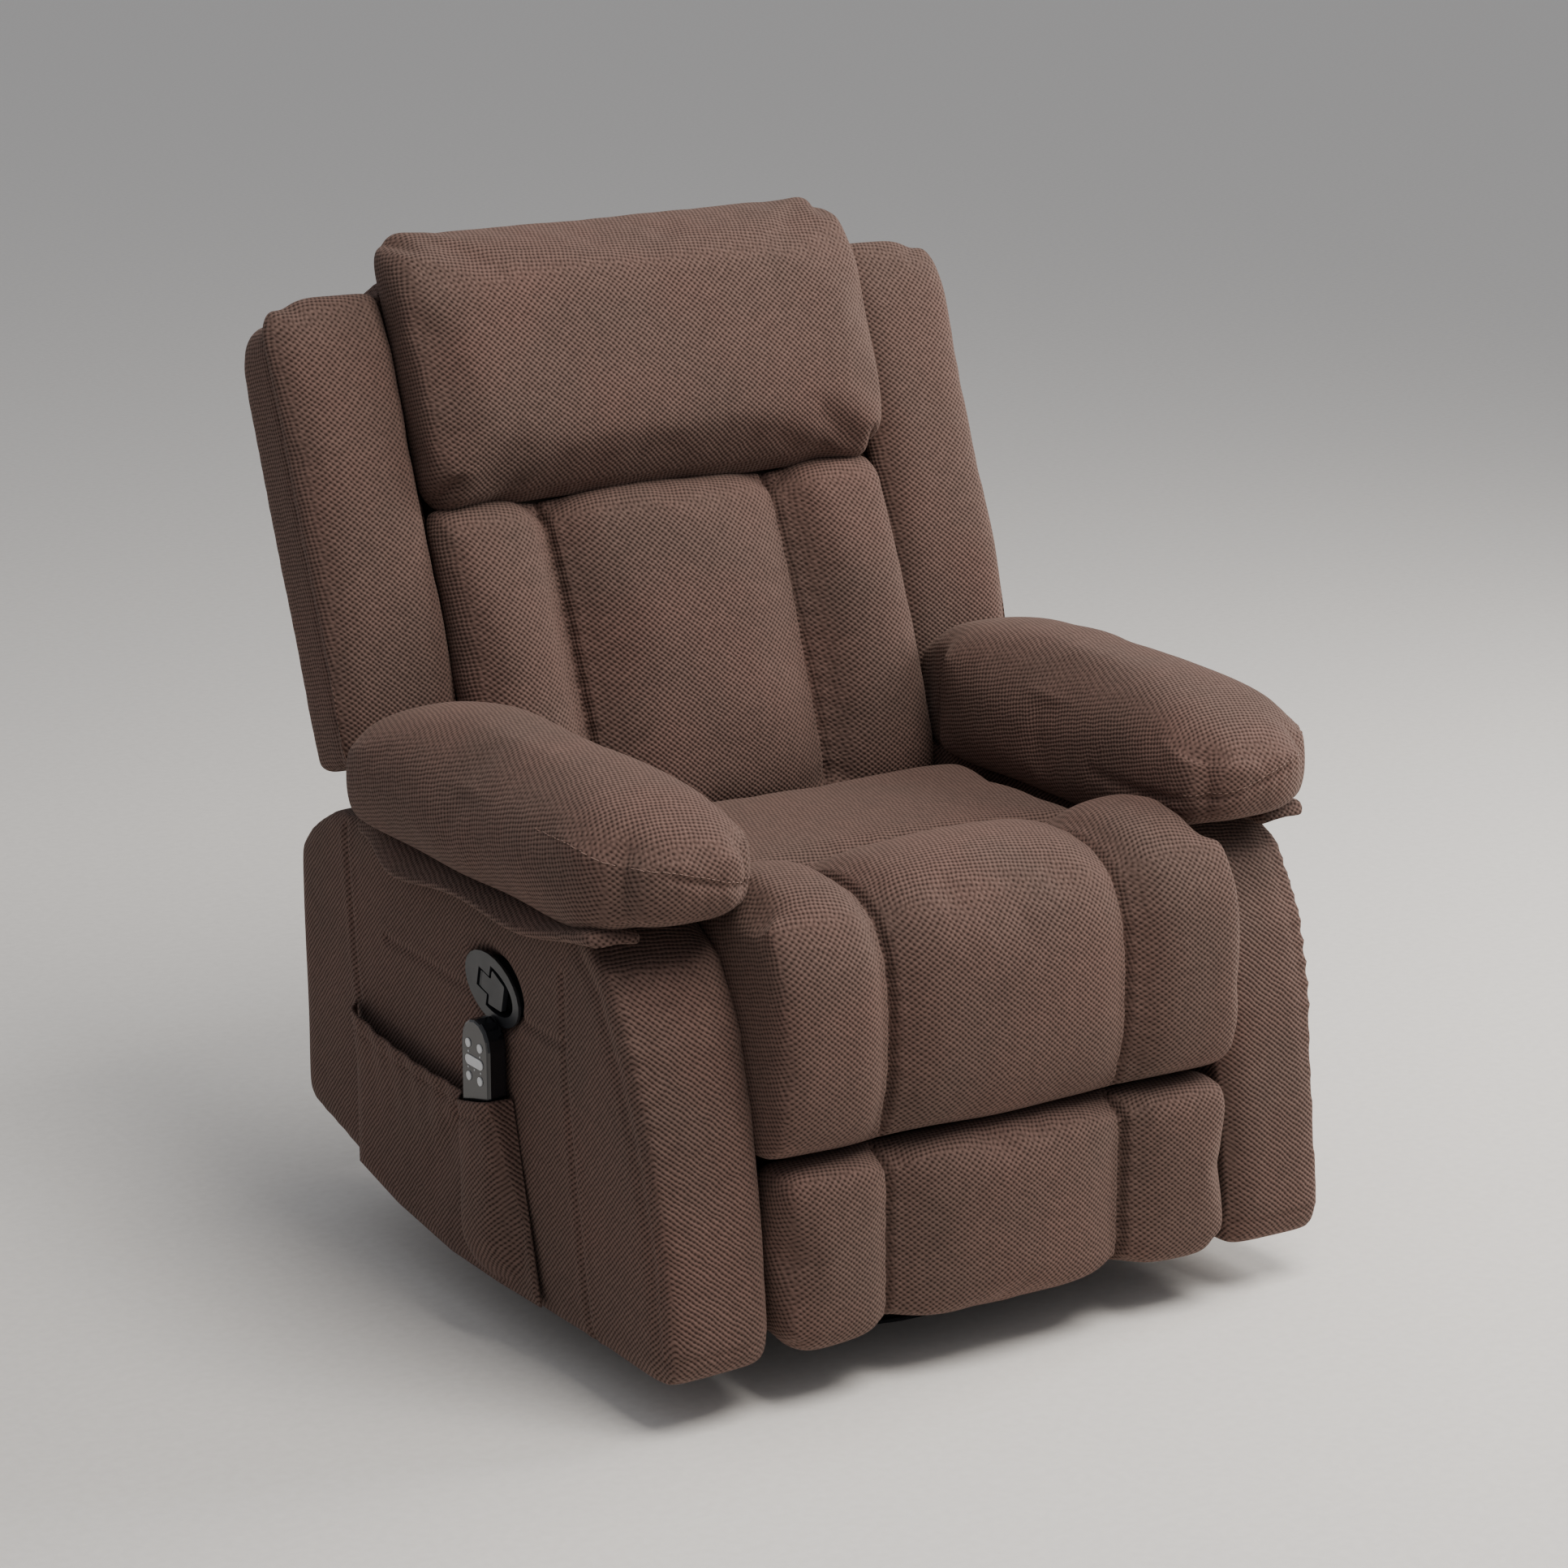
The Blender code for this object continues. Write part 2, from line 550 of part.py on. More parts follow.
def build_back(hinge):
    motor_holes = [circle((x, BACK_MOTOR_Z), MOTOR_RADIUS + GAP, 24) for x in (-BACK_MOTOR_X, BACK_MOTOR_X)]
    frame = prism("back_frame", rectangle((-0.268, -0.030), (0.268, 0.600)), -0.060, -0.024, PLYWOOD,
                  axis="Y", holes=motor_holes, parent=hinge)
    ear = [(-0.030, 0.050), (-0.030, -0.020), (0.0, -0.018), *arc((0, 0), 0.018, -60, 60, 6)]
    for side_name, side in SIDES:
        plate = prism(f"back_ear_{side_name}", ear, *span(side, 0.256, 0.2675),
                      holes=[circle((0, 0), PIN_RADIUS + HOLE_PLAY)], parent=hinge)
        combined(frame, plate, "UNION")

    prism("lumbar_heat_pad", rounded(rectangle((-0.190, 0.020), (0.190, 0.300)), 0.02, 2), -0.0655,
          -0.0605, HEAT_FELT, axis="Y", parent=hinge)
    prism("back_cushion", rounded(BACK_CUSHION, 0.010, 1), -CUSHION_HALF, CUSHION_HALF, CHENILLE,
          soften=0.012, parent=hinge)
    headrest = [(-0.066, 0.352), (-0.125, 0.352), (-0.150, 0.380), (-0.160, 0.450), (-0.158, 0.560),
                (-0.142, 0.610), (-0.107, 0.642), (-0.066, 0.647)]
    prism("headrest_cushion", rounded(headrest, 0.010, 1), -0.285, 0.285, CHENILLE, soften=0.012,
          parent=hinge)
    wing = [(-0.062, 0.150), (-0.084, 0.152), (-0.099, 0.190), (-0.105, 0.250), (-0.105, 0.520),
            (-0.092, 0.580), (-0.062, 0.600)]
    for side_name, side in SIDES:
        prism(f"wing_{side_name}", rounded(wing, 0.008, 1), *span(side, 0.289, 0.425), CHENILLE,
              soften=0.007, parent=hinge)
    build_back_panel(hinge)
    for side_name, side in SIDES:
        build_motor(f"back_{side_name}", (side * BACK_MOTOR_X, -0.030, BACK_MOTOR_Z),
                    (-math.pi / 2, 0, 0), hinge)


def build_back_panel(hinge):
    """The padded outer back, rimmed to hold the wings, lipped over the frame's top, with a round tail below."""
    rear = [(-0.0236, 0.100), (0.0145, 0.100), (0.0200, 0.300), (0.0200, 0.500), (0.0126, 0.585),
            (-0.0236, 0.605)]
    panel = prism("back_panel", rounded(rear, 0.010, 2), -BACK_HALF, BACK_HALF, CHENILLE,
                  soften=0.006, parent=hinge)
    rim = rounded([(-0.0615, 0.100), (-0.012, 0.100), (-0.012, 0.590), (-0.0615, 0.590)], 0.004, 1)
    for side_name, side in SIDES:
        edge = prism(f"panel_rim_{side_name}", rim, *span(side, 0.2686, BACK_HALF - 0.0005),
                     parent=hinge)
        combined(panel, edge, "UNION")
    lip = [(-0.0600, 0.6008), (-0.0236, 0.6008), (-0.0236, 0.588), (-0.008, 0.588), (-0.008, 0.600),
           (-0.018, 0.611), (-0.0570, 0.611), (-0.0600, 0.608)]
    cover = prism("panel_lip", lip, -0.270, 0.270, parent=hinge)
    combined(panel, cover, "UNION")
    tail = [(-0.010, 0.106), (-0.010, 0.160), (0.012, 0.160), (0.034, 0.128),
            *arc((0, 0), TAIL_RADIUS, 57, -14, 10), *arc((0, 0), TAIL_RADIUS - 0.008, -14, 57, 10)]
    skirt = prism("panel_tail", tail, -0.270, 0.270, parent=hinge)
    combined(panel, skirt, "UNION")


# Vibration motors: a cup, with a lopsided weight that spins inside it

def build_motor(place, location, turn, parent=None):
    inner = MOTOR_RADIUS - MOTOR_WALL
    floor = MOTOR_WALL - MOTOR_DEPTH
    cup = [(0, floor), (inner, floor), (inner, 0), (MOTOR_RADIUS, 0), (MOTOR_RADIUS, -MOTOR_DEPTH),
           (0, -MOTOR_DEPTH)]
    turned(f"motor_{place}", cup, GLOSS_BLACK, steps=24, location=location, turn=turn, parent=parent)
    play = 0.003
    weight = [*arc((0, 0), inner - play, 0, 180, 10), *arc((0, 0), 0.006, 200, 340, 5)]
    rotor = prism(f"motor_{place}_weight", weight, floor + play, -play, ZINC_STEEL, axis="Z",
                  parent=parent)
    middle = Vector((0, 0, floor / 2))
    middle.rotate(Euler(turn))
    rotor.location = Vector(location) + middle
    rotor.rotation_euler = turn


# Footrest

def reach_from(start, length, angle, up):
    """The far end of a link; the angle is from straight down, or from straight up."""
    return (start[0] - length * math.sin(angle), start[1] + (length if up else -length) * math.cos(angle))


def link_outline(start, end, half_width, steps=6):
    """A bar with round ends about two pivots."""
    along = math.degrees(math.atan2(end[1] - start[1], end[0] - start[0]))
    return [*arc(end, half_width, along - 90, along + 90, steps),
            *arc(start, half_width, along + 90, along + 270, steps)]


def build_footrest():
    knee = reach_from(DRIVE_PIVOT, DRIVE_LENGTH, DRIVE_ANGLE, up=False)
    board_pivot = reach_from(knee, LONG_LENGTH, LONG_ANGLE, up=True)
    rivet = 0.005
    hole = rivet + HOLE_PLAY
    for side_name, side in SIDES:
        drive = prism(f"footrest_drive_link_{side_name}", link_outline(DRIVE_PIVOT, knee, 0.011),
                      *span(side, DRIVE_X, DRIVE_X + LINK_THICK), ZINC_STEEL)
        for pivot, near, far in ((DRIVE_PIVOT, RAIL_X - 0.001, DRIVE_X + 0.003),
                                 (knee, DRIVE_X + 0.001, LONG_X + LINK_THICK + 0.001)):
            stud = prism(f"{drive.name}_stud_{near:.3f}", circle(pivot, rivet, 14), *span(side, near, far))
            combined(drive, stud, "UNION")
        long_link = prism(f"footrest_long_link_{side_name}", link_outline(knee, board_pivot, 0.011),
                          *span(side, LONG_X, LONG_X + LINK_THICK), ZINC_STEEL,
                          holes=[circle(knee, hole, 14)])
        stud = prism(f"{long_link.name}_stud", circle(board_pivot, rivet, 14),
                     *span(side, LONG_X + 0.001, EAR_X + LINK_THICK + 0.001))
        combined(long_link, stud, "UNION")

    board = prism("footrest_board", rounded(rectangle((-0.255, 0.075), (0.255, 0.242)), 0.01, 2),
                  -0.3565, -0.3430, PLYWOOD, axis="Y")
    bracket = [(-0.350, 0.190), (-0.336, 0.190), *arc(board_pivot, 0.0115, -50, 80, 5),
               (-0.350, 0.236)]
    for side_name, side in SIDES:
        ear = prism(f"board_ear_{side_name}", bracket, *span(side, EAR_X, EAR_X + LINK_THICK),
                    holes=[circle(board_pivot, hole, 14)])
        combined(board, ear, "UNION")
    pad = rounded(rectangle((FRONT, 0.056), (-0.3568, 0.2505)), 0.028, 3)
    prism("footrest_pad", pad, -0.276, 0.276, CHENILLE, soften=0.010)


def main():
    clear_scene()
    build_base()
    build_turntable()
    build_rocker_stand()
    build_mechanism()
    build_seat()
    build_motor("seat", (0, -0.060, FRAME_BOTTOM + 0.015 + GAP), (math.pi, 0, 0))
    hinge = back_hinge()
    build_arms()
    build_rear()
    build_pocket()
    build_remote()
    build_lever()
    build_cable()
    build_back(hinge)
    build_footrest()


main()
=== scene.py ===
"""Massage recliner: soft pieces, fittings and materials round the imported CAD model."""
import math

import bmesh
import bpy
import numpy as np
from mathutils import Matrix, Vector
from mathutils.bvhtree import BVHTree


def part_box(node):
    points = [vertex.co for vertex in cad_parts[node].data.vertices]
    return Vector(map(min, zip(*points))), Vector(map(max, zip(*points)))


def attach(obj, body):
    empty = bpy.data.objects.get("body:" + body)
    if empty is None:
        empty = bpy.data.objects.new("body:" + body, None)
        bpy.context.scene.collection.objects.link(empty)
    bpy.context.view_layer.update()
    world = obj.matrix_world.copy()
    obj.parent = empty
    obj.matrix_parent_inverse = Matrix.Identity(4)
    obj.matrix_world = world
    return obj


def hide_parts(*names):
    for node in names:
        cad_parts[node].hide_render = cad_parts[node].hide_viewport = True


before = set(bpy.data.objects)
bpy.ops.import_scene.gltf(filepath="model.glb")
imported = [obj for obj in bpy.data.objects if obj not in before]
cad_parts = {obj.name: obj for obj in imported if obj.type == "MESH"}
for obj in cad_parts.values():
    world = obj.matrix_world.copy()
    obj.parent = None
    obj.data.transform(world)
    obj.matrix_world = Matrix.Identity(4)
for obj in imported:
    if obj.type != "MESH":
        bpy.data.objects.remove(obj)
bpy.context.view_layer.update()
scene = bpy.context.scene

# The back: y and z of the pins it turns on, in metres, and its lean at rest
BACK_HINGE = (0.22, 0.43)
BACK_TILT = math.radians(21)

# The sewn channels and the arm pads, in metres from the middle of the chair
GROOVE = 0.144
CHANNEL_EDGES = (-0.298, -GROOVE, GROOVE, 0.298)
PAD_MIDDLE, PAD_HALF = 0.351, 0.096
PAD_FRONT, PAD_REAR = -0.385, 0.188

# Stuffing the cushions with cloth pressure
VOXEL = 0.007
SIM_FRAMES = 18
PRESSURE = 4.0
STRETCH_STIFFNESS, SHEAR_STIFFNESS, BEND_STIFFNESS = 14, 6, 0.4
SLACK = -0.005
PIN_LEVELS = 5


# Mesh arrays

def positions(mesh):
    flat = np.empty(len(mesh.vertices) * 3)
    mesh.vertices.foreach_get("co", flat)
    return flat.reshape(-1, 3)


def normals(mesh):
    flat = np.empty(len(mesh.vertices) * 3)
    mesh.vertex_normals.foreach_get("vector", flat)
    return flat.reshape(-1, 3)


def put(mesh, points):
    mesh.vertices.foreach_set("co", np.ascontiguousarray(points).ravel())
    mesh.update()


def smooth(mesh, rounds, factor=0.5):
    """Averages each vertex with its neighbours, rounds times."""
    count = len(mesh.vertices)
    flat = np.empty(len(mesh.edges) * 2, dtype=np.int32)
    mesh.edges.foreach_get("vertices", flat)
    a, b = flat[0::2], flat[1::2]
    degree = np.bincount(np.concatenate((a, b)), minlength=count)[:, None]
    points = positions(mesh)
    for _ in range(rounds):
        total = np.stack([np.bincount(a, points[b, k], count) + np.bincount(b, points[a, k], count)
                          for k in range(3)], axis=1)
        points += factor * (total / degree - points)
    put(mesh, points)


def ramp(value, low, high):
    """0 below low, 1 above high, and a smooth rise between."""
    t = np.clip((value - low) / (high - low), 0, 1)
    return t * t * (3 - 2 * t)


def bell(off, width):
    """1 at no distance, falling away over about that width."""
    return np.exp(-(off / width) ** 2)


def lumps(points, size, seed):
    """Smooth unevenness between about -1 and 1, of about that size in metres."""
    draw = np.random.RandomState(seed)
    total = np.zeros(len(points))
    for _ in range(7):
        way = draw.normal(size=3)
        way *= draw.uniform(0.6, 1.5) / (np.linalg.norm(way) * size)
        total += np.sin(points @ way * 2 * math.pi + draw.uniform(0, 6.3))
    return total / 4


def to_back(points):
    """World points in the back's own upright frame: x, depth (front negative), height over the hinge."""
    y, z = points[:, 1] - BACK_HINGE[0], points[:, 2] - BACK_HINGE[1]
    c, s = math.cos(BACK_TILT), math.sin(BACK_TILT)
    return np.stack((points[:, 0], y * c - z * s, y * s + z * c), axis=1)


def from_back(points):
    """Points in the back's upright frame, put back in the world."""
    c, s = math.cos(BACK_TILT), math.sin(BACK_TILT)
    y, z = points[:, 1], points[:, 2]
    depth, height = BACK_HINGE[0] + y * c + z * s, BACK_HINGE[1] - y * s + z * c
    return np.stack((points[:, 0], depth, height), axis=1)


def facing_in_back(facing):
    """World directions, turned with the back to its upright frame."""
    return to_back(facing + np.array((0, *BACK_HINGE)))


def path_distance(points, path):
    """Distance from each point to the polyline."""
    best = np.full(len(points), 1e9)
    for p, q in zip(path[:-1], path[1:]):
        p, q = np.array(p), np.array(q)
        d = q - p
        t = np.clip((points - p) @ d / max(d @ d, 1e-12), 0, 1)
        best = np.minimum(best, np.linalg.norm(points - p - t[:, None] * d, axis=1))
    return best


# Making and stuffing soft pieces

def new_object(name, mesh):
    thing = bpy.data.objects.new(name, mesh)
    scene.collection.objects.link(thing)
    return thing


def baked(thing):
    """The object's mesh with its modifiers applied, put back on it."""
    graph = bpy.context.evaluated_depsgraph_get()
    mesh = bpy.data.meshes.new_from_object(thing.evaluated_get(graph))
    thing.modifiers.clear()
    thing.data = mesh


def remeshed(thing, voxel):
    cut = thing.modifiers.new("Remesh", "REMESH")
    cut.mode = "VOXEL"
    cut.voxel_size = voxel
    baked(thing)


def subdivided(thing):
    level = thing.modifiers.new("Subdivision", "SUBSURF")
    level.levels = level.render_levels = 1
    baked(thing)


def shade_smooth(mesh):
    mesh.polygons.foreach_set("use_smooth", [True] * len(mesh.polygons))


def skin(form, rings):
    """Faces between equal rings of vertices, one after the other, and over both ends."""
    count = len(rings[0])
    for ring, following in zip(rings[:-1], rings[1:]):
        for i in range(count):
            j = (i + 1) % count
            form.faces.new((ring[i], ring[j], following[j], following[i]))
    form.faces.new(rings[0][::-1])
    form.faces.new(rings[-1])


def made_of(form, name, rounded=True):
    """Ends a bmesh and makes it an object, smooth shaded if it is rounded."""
    mesh = bpy.data.meshes.new(name)
    form.to_mesh(mesh)
    form.free()
    if rounded:
        shade_smooth(mesh)
    return new_object(name, mesh)


def prism(name, outline, low, high):
    """Closed extrusion along x of a (y, z) outline, with its sharp edges bevelled."""
    form = bmesh.new()
    skin(form, [[form.verts.new((x, y, z)) for y, z in outline] for x in (low, high)])
    bmesh.ops.recalc_face_normals(form, faces=form.faces)
    thing = made_of(form, name, rounded=False)
    bevel = thing.modifiers.new("Bevel", "BEVEL")
    bevel.width = 0.013
    bevel.segments = 4
    baked(thing)
    return thing


def fitted(points, target, grow=0.0):
    """Stretches the points' box over the target's, bigger all round by grow."""
    low, high = points.min(axis=0), points.max(axis=0)
    to_low, to_high = target.min(axis=0) - grow, target.max(axis=0) + grow
    return to_low + (points - low) * ((to_high - to_low) / (high - low))


stuffing = []


def start_soft(name, source, voxel, rounds, inset, shape=None, pins=None, cap=0.0):
    """Begins a soft piece from a CAD solid or an outline: remeshed, rounded and drawn in.

    With a cap above 0 it is also stuffed later. Then pins says where it is held, from 0 to 1, and
    cap how far any point may move.
    """
    if isinstance(source, str):
        thing = new_object(name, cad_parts[source].data.copy())
    else:
        thing = prism(name, *source)
    thing.data.materials.clear()
    remeshed(thing, voxel)
    smooth(thing.data, rounds)
    points, facing = positions(thing.data), normals(thing.data)
    points = points - facing * inset
    put(thing.data, points)
    if shape:
        put(thing.data, shape(points, normals(thing.data)))
        smooth(thing.data, 2)
    if cap > 0:
        stuffing.append((thing, pins, cap))
    return thing


def stuff_all():
    """Blows every cushion up with cloth pressure, all in one run, and keeps the shapes."""
    rest = {}
    for thing, pins, _ in stuffing:
        points, facing = positions(thing.data), normals(thing.data)
        rest[thing.name] = points.copy()
        group = thing.vertex_groups.new(name="held")
        weight = np.round(np.clip(pins(points, facing), 0, 1) * PIN_LEVELS) / PIN_LEVELS
        for k in range(1, PIN_LEVELS + 1):
            level = k / PIN_LEVELS
            chosen = np.nonzero(np.abs(weight - level) < 0.05)[0]
            if len(chosen):
                group.add(chosen.tolist(), float(level), "REPLACE")
        cloth = thing.modifiers.new("Cloth", "CLOTH")
        cloth.point_cache.frame_start, cloth.point_cache.frame_end = 1, SIM_FRAMES
        cloth.collision_settings.use_collision = False
        facts = cloth.settings
        facts.quality = 3
        facts.mass = 0.3
        facts.use_pressure = True
        facts.uniform_pressure_force = PRESSURE
        facts.shrink_min = SLACK
        facts.tension_stiffness = facts.compression_stiffness = STRETCH_STIFFNESS
        facts.shear_stiffness = SHEAR_STIFFNESS
        facts.bending_stiffness = BEND_STIFFNESS
        facts.effector_weights.gravity = 0
        facts.vertex_group_mass = "held"
    for step in range(1, SIM_FRAMES + 1):
        scene.frame_set(step)
    graph = bpy.context.evaluated_depsgraph_get()
    for thing, _, cap in stuffing:
        blown = thing.evaluated_get(graph).to_mesh()
        moved = positions(blown) - rest[thing.name]
        thing.evaluated_get(graph).to_mesh_clear()
        length = np.linalg.norm(moved, axis=1)[:, None]
        moved *= np.minimum(1, cap / np.maximum(length, 1e-9))
        thing.modifiers.clear()
        thing.vertex_groups.clear()
        put(thing.data, rest[thing.name] + moved)
        smooth(thing.data, 4)
    scene.frame_set(1)


def finished(thing, node, body, look, details=None, grow=0.0):
    """Last subdivision, fit and sewn detail, then its material, the node it stands for and its body."""
    subdivided(thing)
    target = positions(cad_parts[node].data)
    if body == "back":
        put(thing.data, from_back(fitted(to_back(positions(thing.data)), to_back(target), grow)))
    else:
        put(thing.data, fitted(positions(thing.data), target, grow))
    if details:
        points = positions(thing.data)
        put(thing.data, details(points, normals(thing.data)))
    shade_smooth(thing.data)
    thing.data.materials.append(look)
    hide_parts(node)
    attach(thing, body)


# Shapes of the cushions

def channel(x):
    """-1 to 1 across each of the three sewn channels."""
    x = np.clip(x, CHANNEL_EDGES[0], CHANNEL_EDGES[-1])
    across = np.zeros(len(x))
    for low, high in zip(CHANNEL_EDGES[:-1], CHANNEL_EDGES[1:]):
        inside = (x >= low) & (x <= high)
        across[inside] = (2 * x[inside] - low - high) / (high - low)
    return across


def channelled(points, facing, mask, depth, crown, power=7):
    """Each channel crowned across, and cut to its depth at the grooves."""
    across = np.abs(channel(points[:, 0]))
    drop = depth * across ** power + crown * across ** 2
    return points - facing * (drop * mask)[:, None]


def corner(points, a, b, centre, signs):
    """Rounds the square corner that lies beyond centre, where signs point, along axes a and b."""
    u = (points[:, a] - centre[0]) * signs[0]
    v = (points[:, b] - centre[1]) * signs[1]
    both = (u > 0) & (v > 0)
    length = np.hypot(u, v)
    square = np.maximum(np.abs(u), np.abs(v))
    scale = np.where(both & (length > 1e-9), square / np.maximum(length, 1e-9), 1)
    points = points.copy()
    points[:, a] = centre[0] + (points[:, a] - centre[0]) * scale
    points[:, b] = centre[1] + (points[:, b] - centre[1]) * scale
    return points


def in_back(shape):
    """Runs a shape function in the back's upright frame."""
    return lambda points, facing: from_back(shape(to_back(points), facing_in_back(facing)))


def pins_in_back(pins):
    """Runs a pin function in the back's upright frame."""
    return lambda points, facing: pins(to_back(points), facing_in_back(facing))


def headrest_shape(points, facing):
    """Round corners, and a front that falls away from its middle."""
    for side in (-1, 1):
        points = corner(points, 0, 2, (side * 0.243, 0.605), (side, 1))
        points = corner(points, 0, 2, (side * 0.250, 0.387), (side, -1))
    front = ramp(-facing[:, 1], 0.0, 0.6)
    crown = (1 - (points[:, 0] / 0.285) ** 2) * (1 - ((points[:, 2] - 0.49) / 0.15) ** 2)
    return points - facing * (front * 0.006 * (1 - np.clip(crown, 0, 1)))[:, None]


def back_shape(points, facing):
    """Three channels down the front and over the top."""
    mask = ramp(-facing[:, 1] + 0.6 * facing[:, 2], -0.2, 0.5)
    return channelled(points, facing, mask, 0.026, 0.010)


def wing_shape(points, facing):
    """A round outer top corner, and a front turned back at both edges."""
    for side in (-1, 1):
        points = corner(points, 0, 2, (side * 0.365, 0.540), (side, 1))
    middle = (np.abs(points[:, 0]) - 0.357) / 0.068
    front = ramp(-facing[:, 1], -0.1, 0.6)
    return points + np.array((0, 1.0, 0)) * (front * 0.012 * middle ** 4)[:, None]


def back_panel_shape(points, _):
    """Wide round corners at the top."""
    for side in (-1, 1):
        points = corner(points, 0, 2, (side * 0.345, 0.530), (side, 1))
    return points


def seat_shape(points, facing):
    """A top slightly lower towards the arms."""
    mask = ramp(facing[:, 2], 0.2, 0.8)
    across = np.abs(points[:, 0] / 0.279)
    return points - facing * (mask * (0.007 * across ** 2))[:, None]


def bolster_mask(_, facing):
    """1 over the front and top, 0 behind and below."""
    return ramp(facing @ np.array((0, -0.75, 0.66)), -0.45, 0.25)


def bolster_shape(points, facing):
    """Three channels over the front edge of the seat."""
    return channelled(points, facing, bolster_mask(points, facing), 0.024, 0.008)


def footrest_shape(points, facing):
    """Three channels, and round lower corners."""
    points = channelled(points, facing, ramp(-facing[:, 1], -0.3, 0.3), 0.022, 0.007)
    for side in (-1, 1):
        points = corner(points, 0, 2, (side * 0.238, 0.094), (side, -1))
    return points


def pad_shape(points, facing):
    """Corners of their own radius, outer ones first, then the top drawn down to its edges and nose."""
    side = 1 if points[:, 0].mean() > 0 else -1
    middle = side * PAD_MIDDLE
    for edge, rear, front in ((side, 0.036, 0.096), (-side, 0.060, 0.060)):
        rear_centre = (middle + edge * (PAD_HALF - rear), PAD_REAR - rear)
        front_centre = (middle + edge * (PAD_HALF - front), PAD_FRONT + front)
        points = corner(points, 0, 1, rear_centre, (edge, 1))
        points = corner(points, 0, 1, front_centre, (edge, -1))
    across = np.abs(np.abs(points[:, 0]) - PAD_MIDDLE) / PAD_HALF
    along = np.clip((-0.20 - points[:, 1]) / 0.185, 0, 1)
    top = ramp(facing[:, 2], -0.1, 0.7)
    drop = 0.022 * across ** 2.4 + 0.024 * along ** 2
    return points - np.array((0, 0, 1.0)) * (top * drop)[:, None]


def front_mask(_, facing):
    """1 where a piece faces forward."""
    return ramp(-facing[:, 1], 0, 0.5)


def underside_pins(_, facing):
    """Holds what a cushion rests on."""
    return ramp(-facing[:, 2], 0.5, 0.9)


def groove_pins(mask_of, power=14):
    """Holds a piece along its grooves, and wherever the mask is low."""
    def pins(points, facing):
        across = np.abs(channel(points[:, 0]))
        return np.maximum(1 - mask_of(points, facing), across ** power)
    return pins


# Materials

class Graph:
    """Short names for the node tree of one material."""

    def __init__(self, name):
        self.material = bpy.data.materials.new(name)
        self.material.use_nodes = True
        self.tree = self.material.node_tree
        self.shader = self.tree.nodes["Principled BSDF"]

    def node(self, kind, **values):
        made = self.tree.nodes.new(kind)
        for key, value in values.items():
            if hasattr(made, key):
                setattr(made, key, value)
            else:
                made.inputs[key.replace("_", " ").title()].default_value = value
        return made

    def link(self, source, target):
        if isinstance(source, (int, float, tuple)):
            target.default_value = source
        else:
            self.tree.links.new(source, target)

    def math(self, operation, *values):
        made = self.node("ShaderNodeMath", operation=operation)
        for value, socket in zip(values, made.inputs):
            self.link(value, socket)
        return made.outputs[0]

    def vector(self, operation, *values):
        made = self.node("ShaderNodeVectorMath", operation=operation)
        for value, socket in zip(values, made.inputs):
            self.link(value, socket)
        return made.outputs["Value" if operation == "DOT_PRODUCT" else "Vector"]

    def noise(self, where, scale, detail, colour=False):
        made = self.node("ShaderNodeTexNoise", Scale=scale, Detail=detail)
        self.link(where, made.inputs["Vector"])
        return made.outputs["Color" if colour else "Fac"]

    def ramp(self, value, *stops):
        made = self.node("ShaderNodeValToRGB")
        self.link(value, made.inputs[0])
        while len(made.color_ramp.elements) < len(stops):
            made.color_ramp.elements.new(0.5)
        for element, (place, colour) in zip(made.color_ramp.elements, stops):
            element.position = place
            element.color = (*colour, 1)
        return made.outputs[0]

    def mix(self, factor, first, second, blend="MIX"):
        made = self.node("ShaderNodeMix", data_type="RGBA", blend_type=blend)
        self.link(factor, made.inputs[0])
        for value, socket in zip((first, second), made.inputs[6:8]):
            self.link((*value, 1) if isinstance(value, tuple) else value, socket)
        return made.outputs[2]

    def bump(self, height, distance, strength=1.0):
        made = self.node("ShaderNodeBump", Distance=distance, Strength=strength)
        self.link(height, made.inputs["Height"])
        return made.outputs[0]

    def set(self, **values):
        for key, value in values.items():
            self.shader.inputs[key.replace("_", " ")].default_value = value


# Thread colour for the raised stitches; the second colour is painted shade, darkening the low gaps
# between them
THREAD = (0.136, 0.083, 0.068)
GAP_SHADE = (0.029, 0.017, 0.0136)
# Metres from row to row and from stitch to stitch, the degrees between those two directions, and how
# far stitches stray
ROW_SPACING, STITCH_SPACING = 0.0044, 0.0047
STITCH_TURN = 79
WANDER = 0.0036


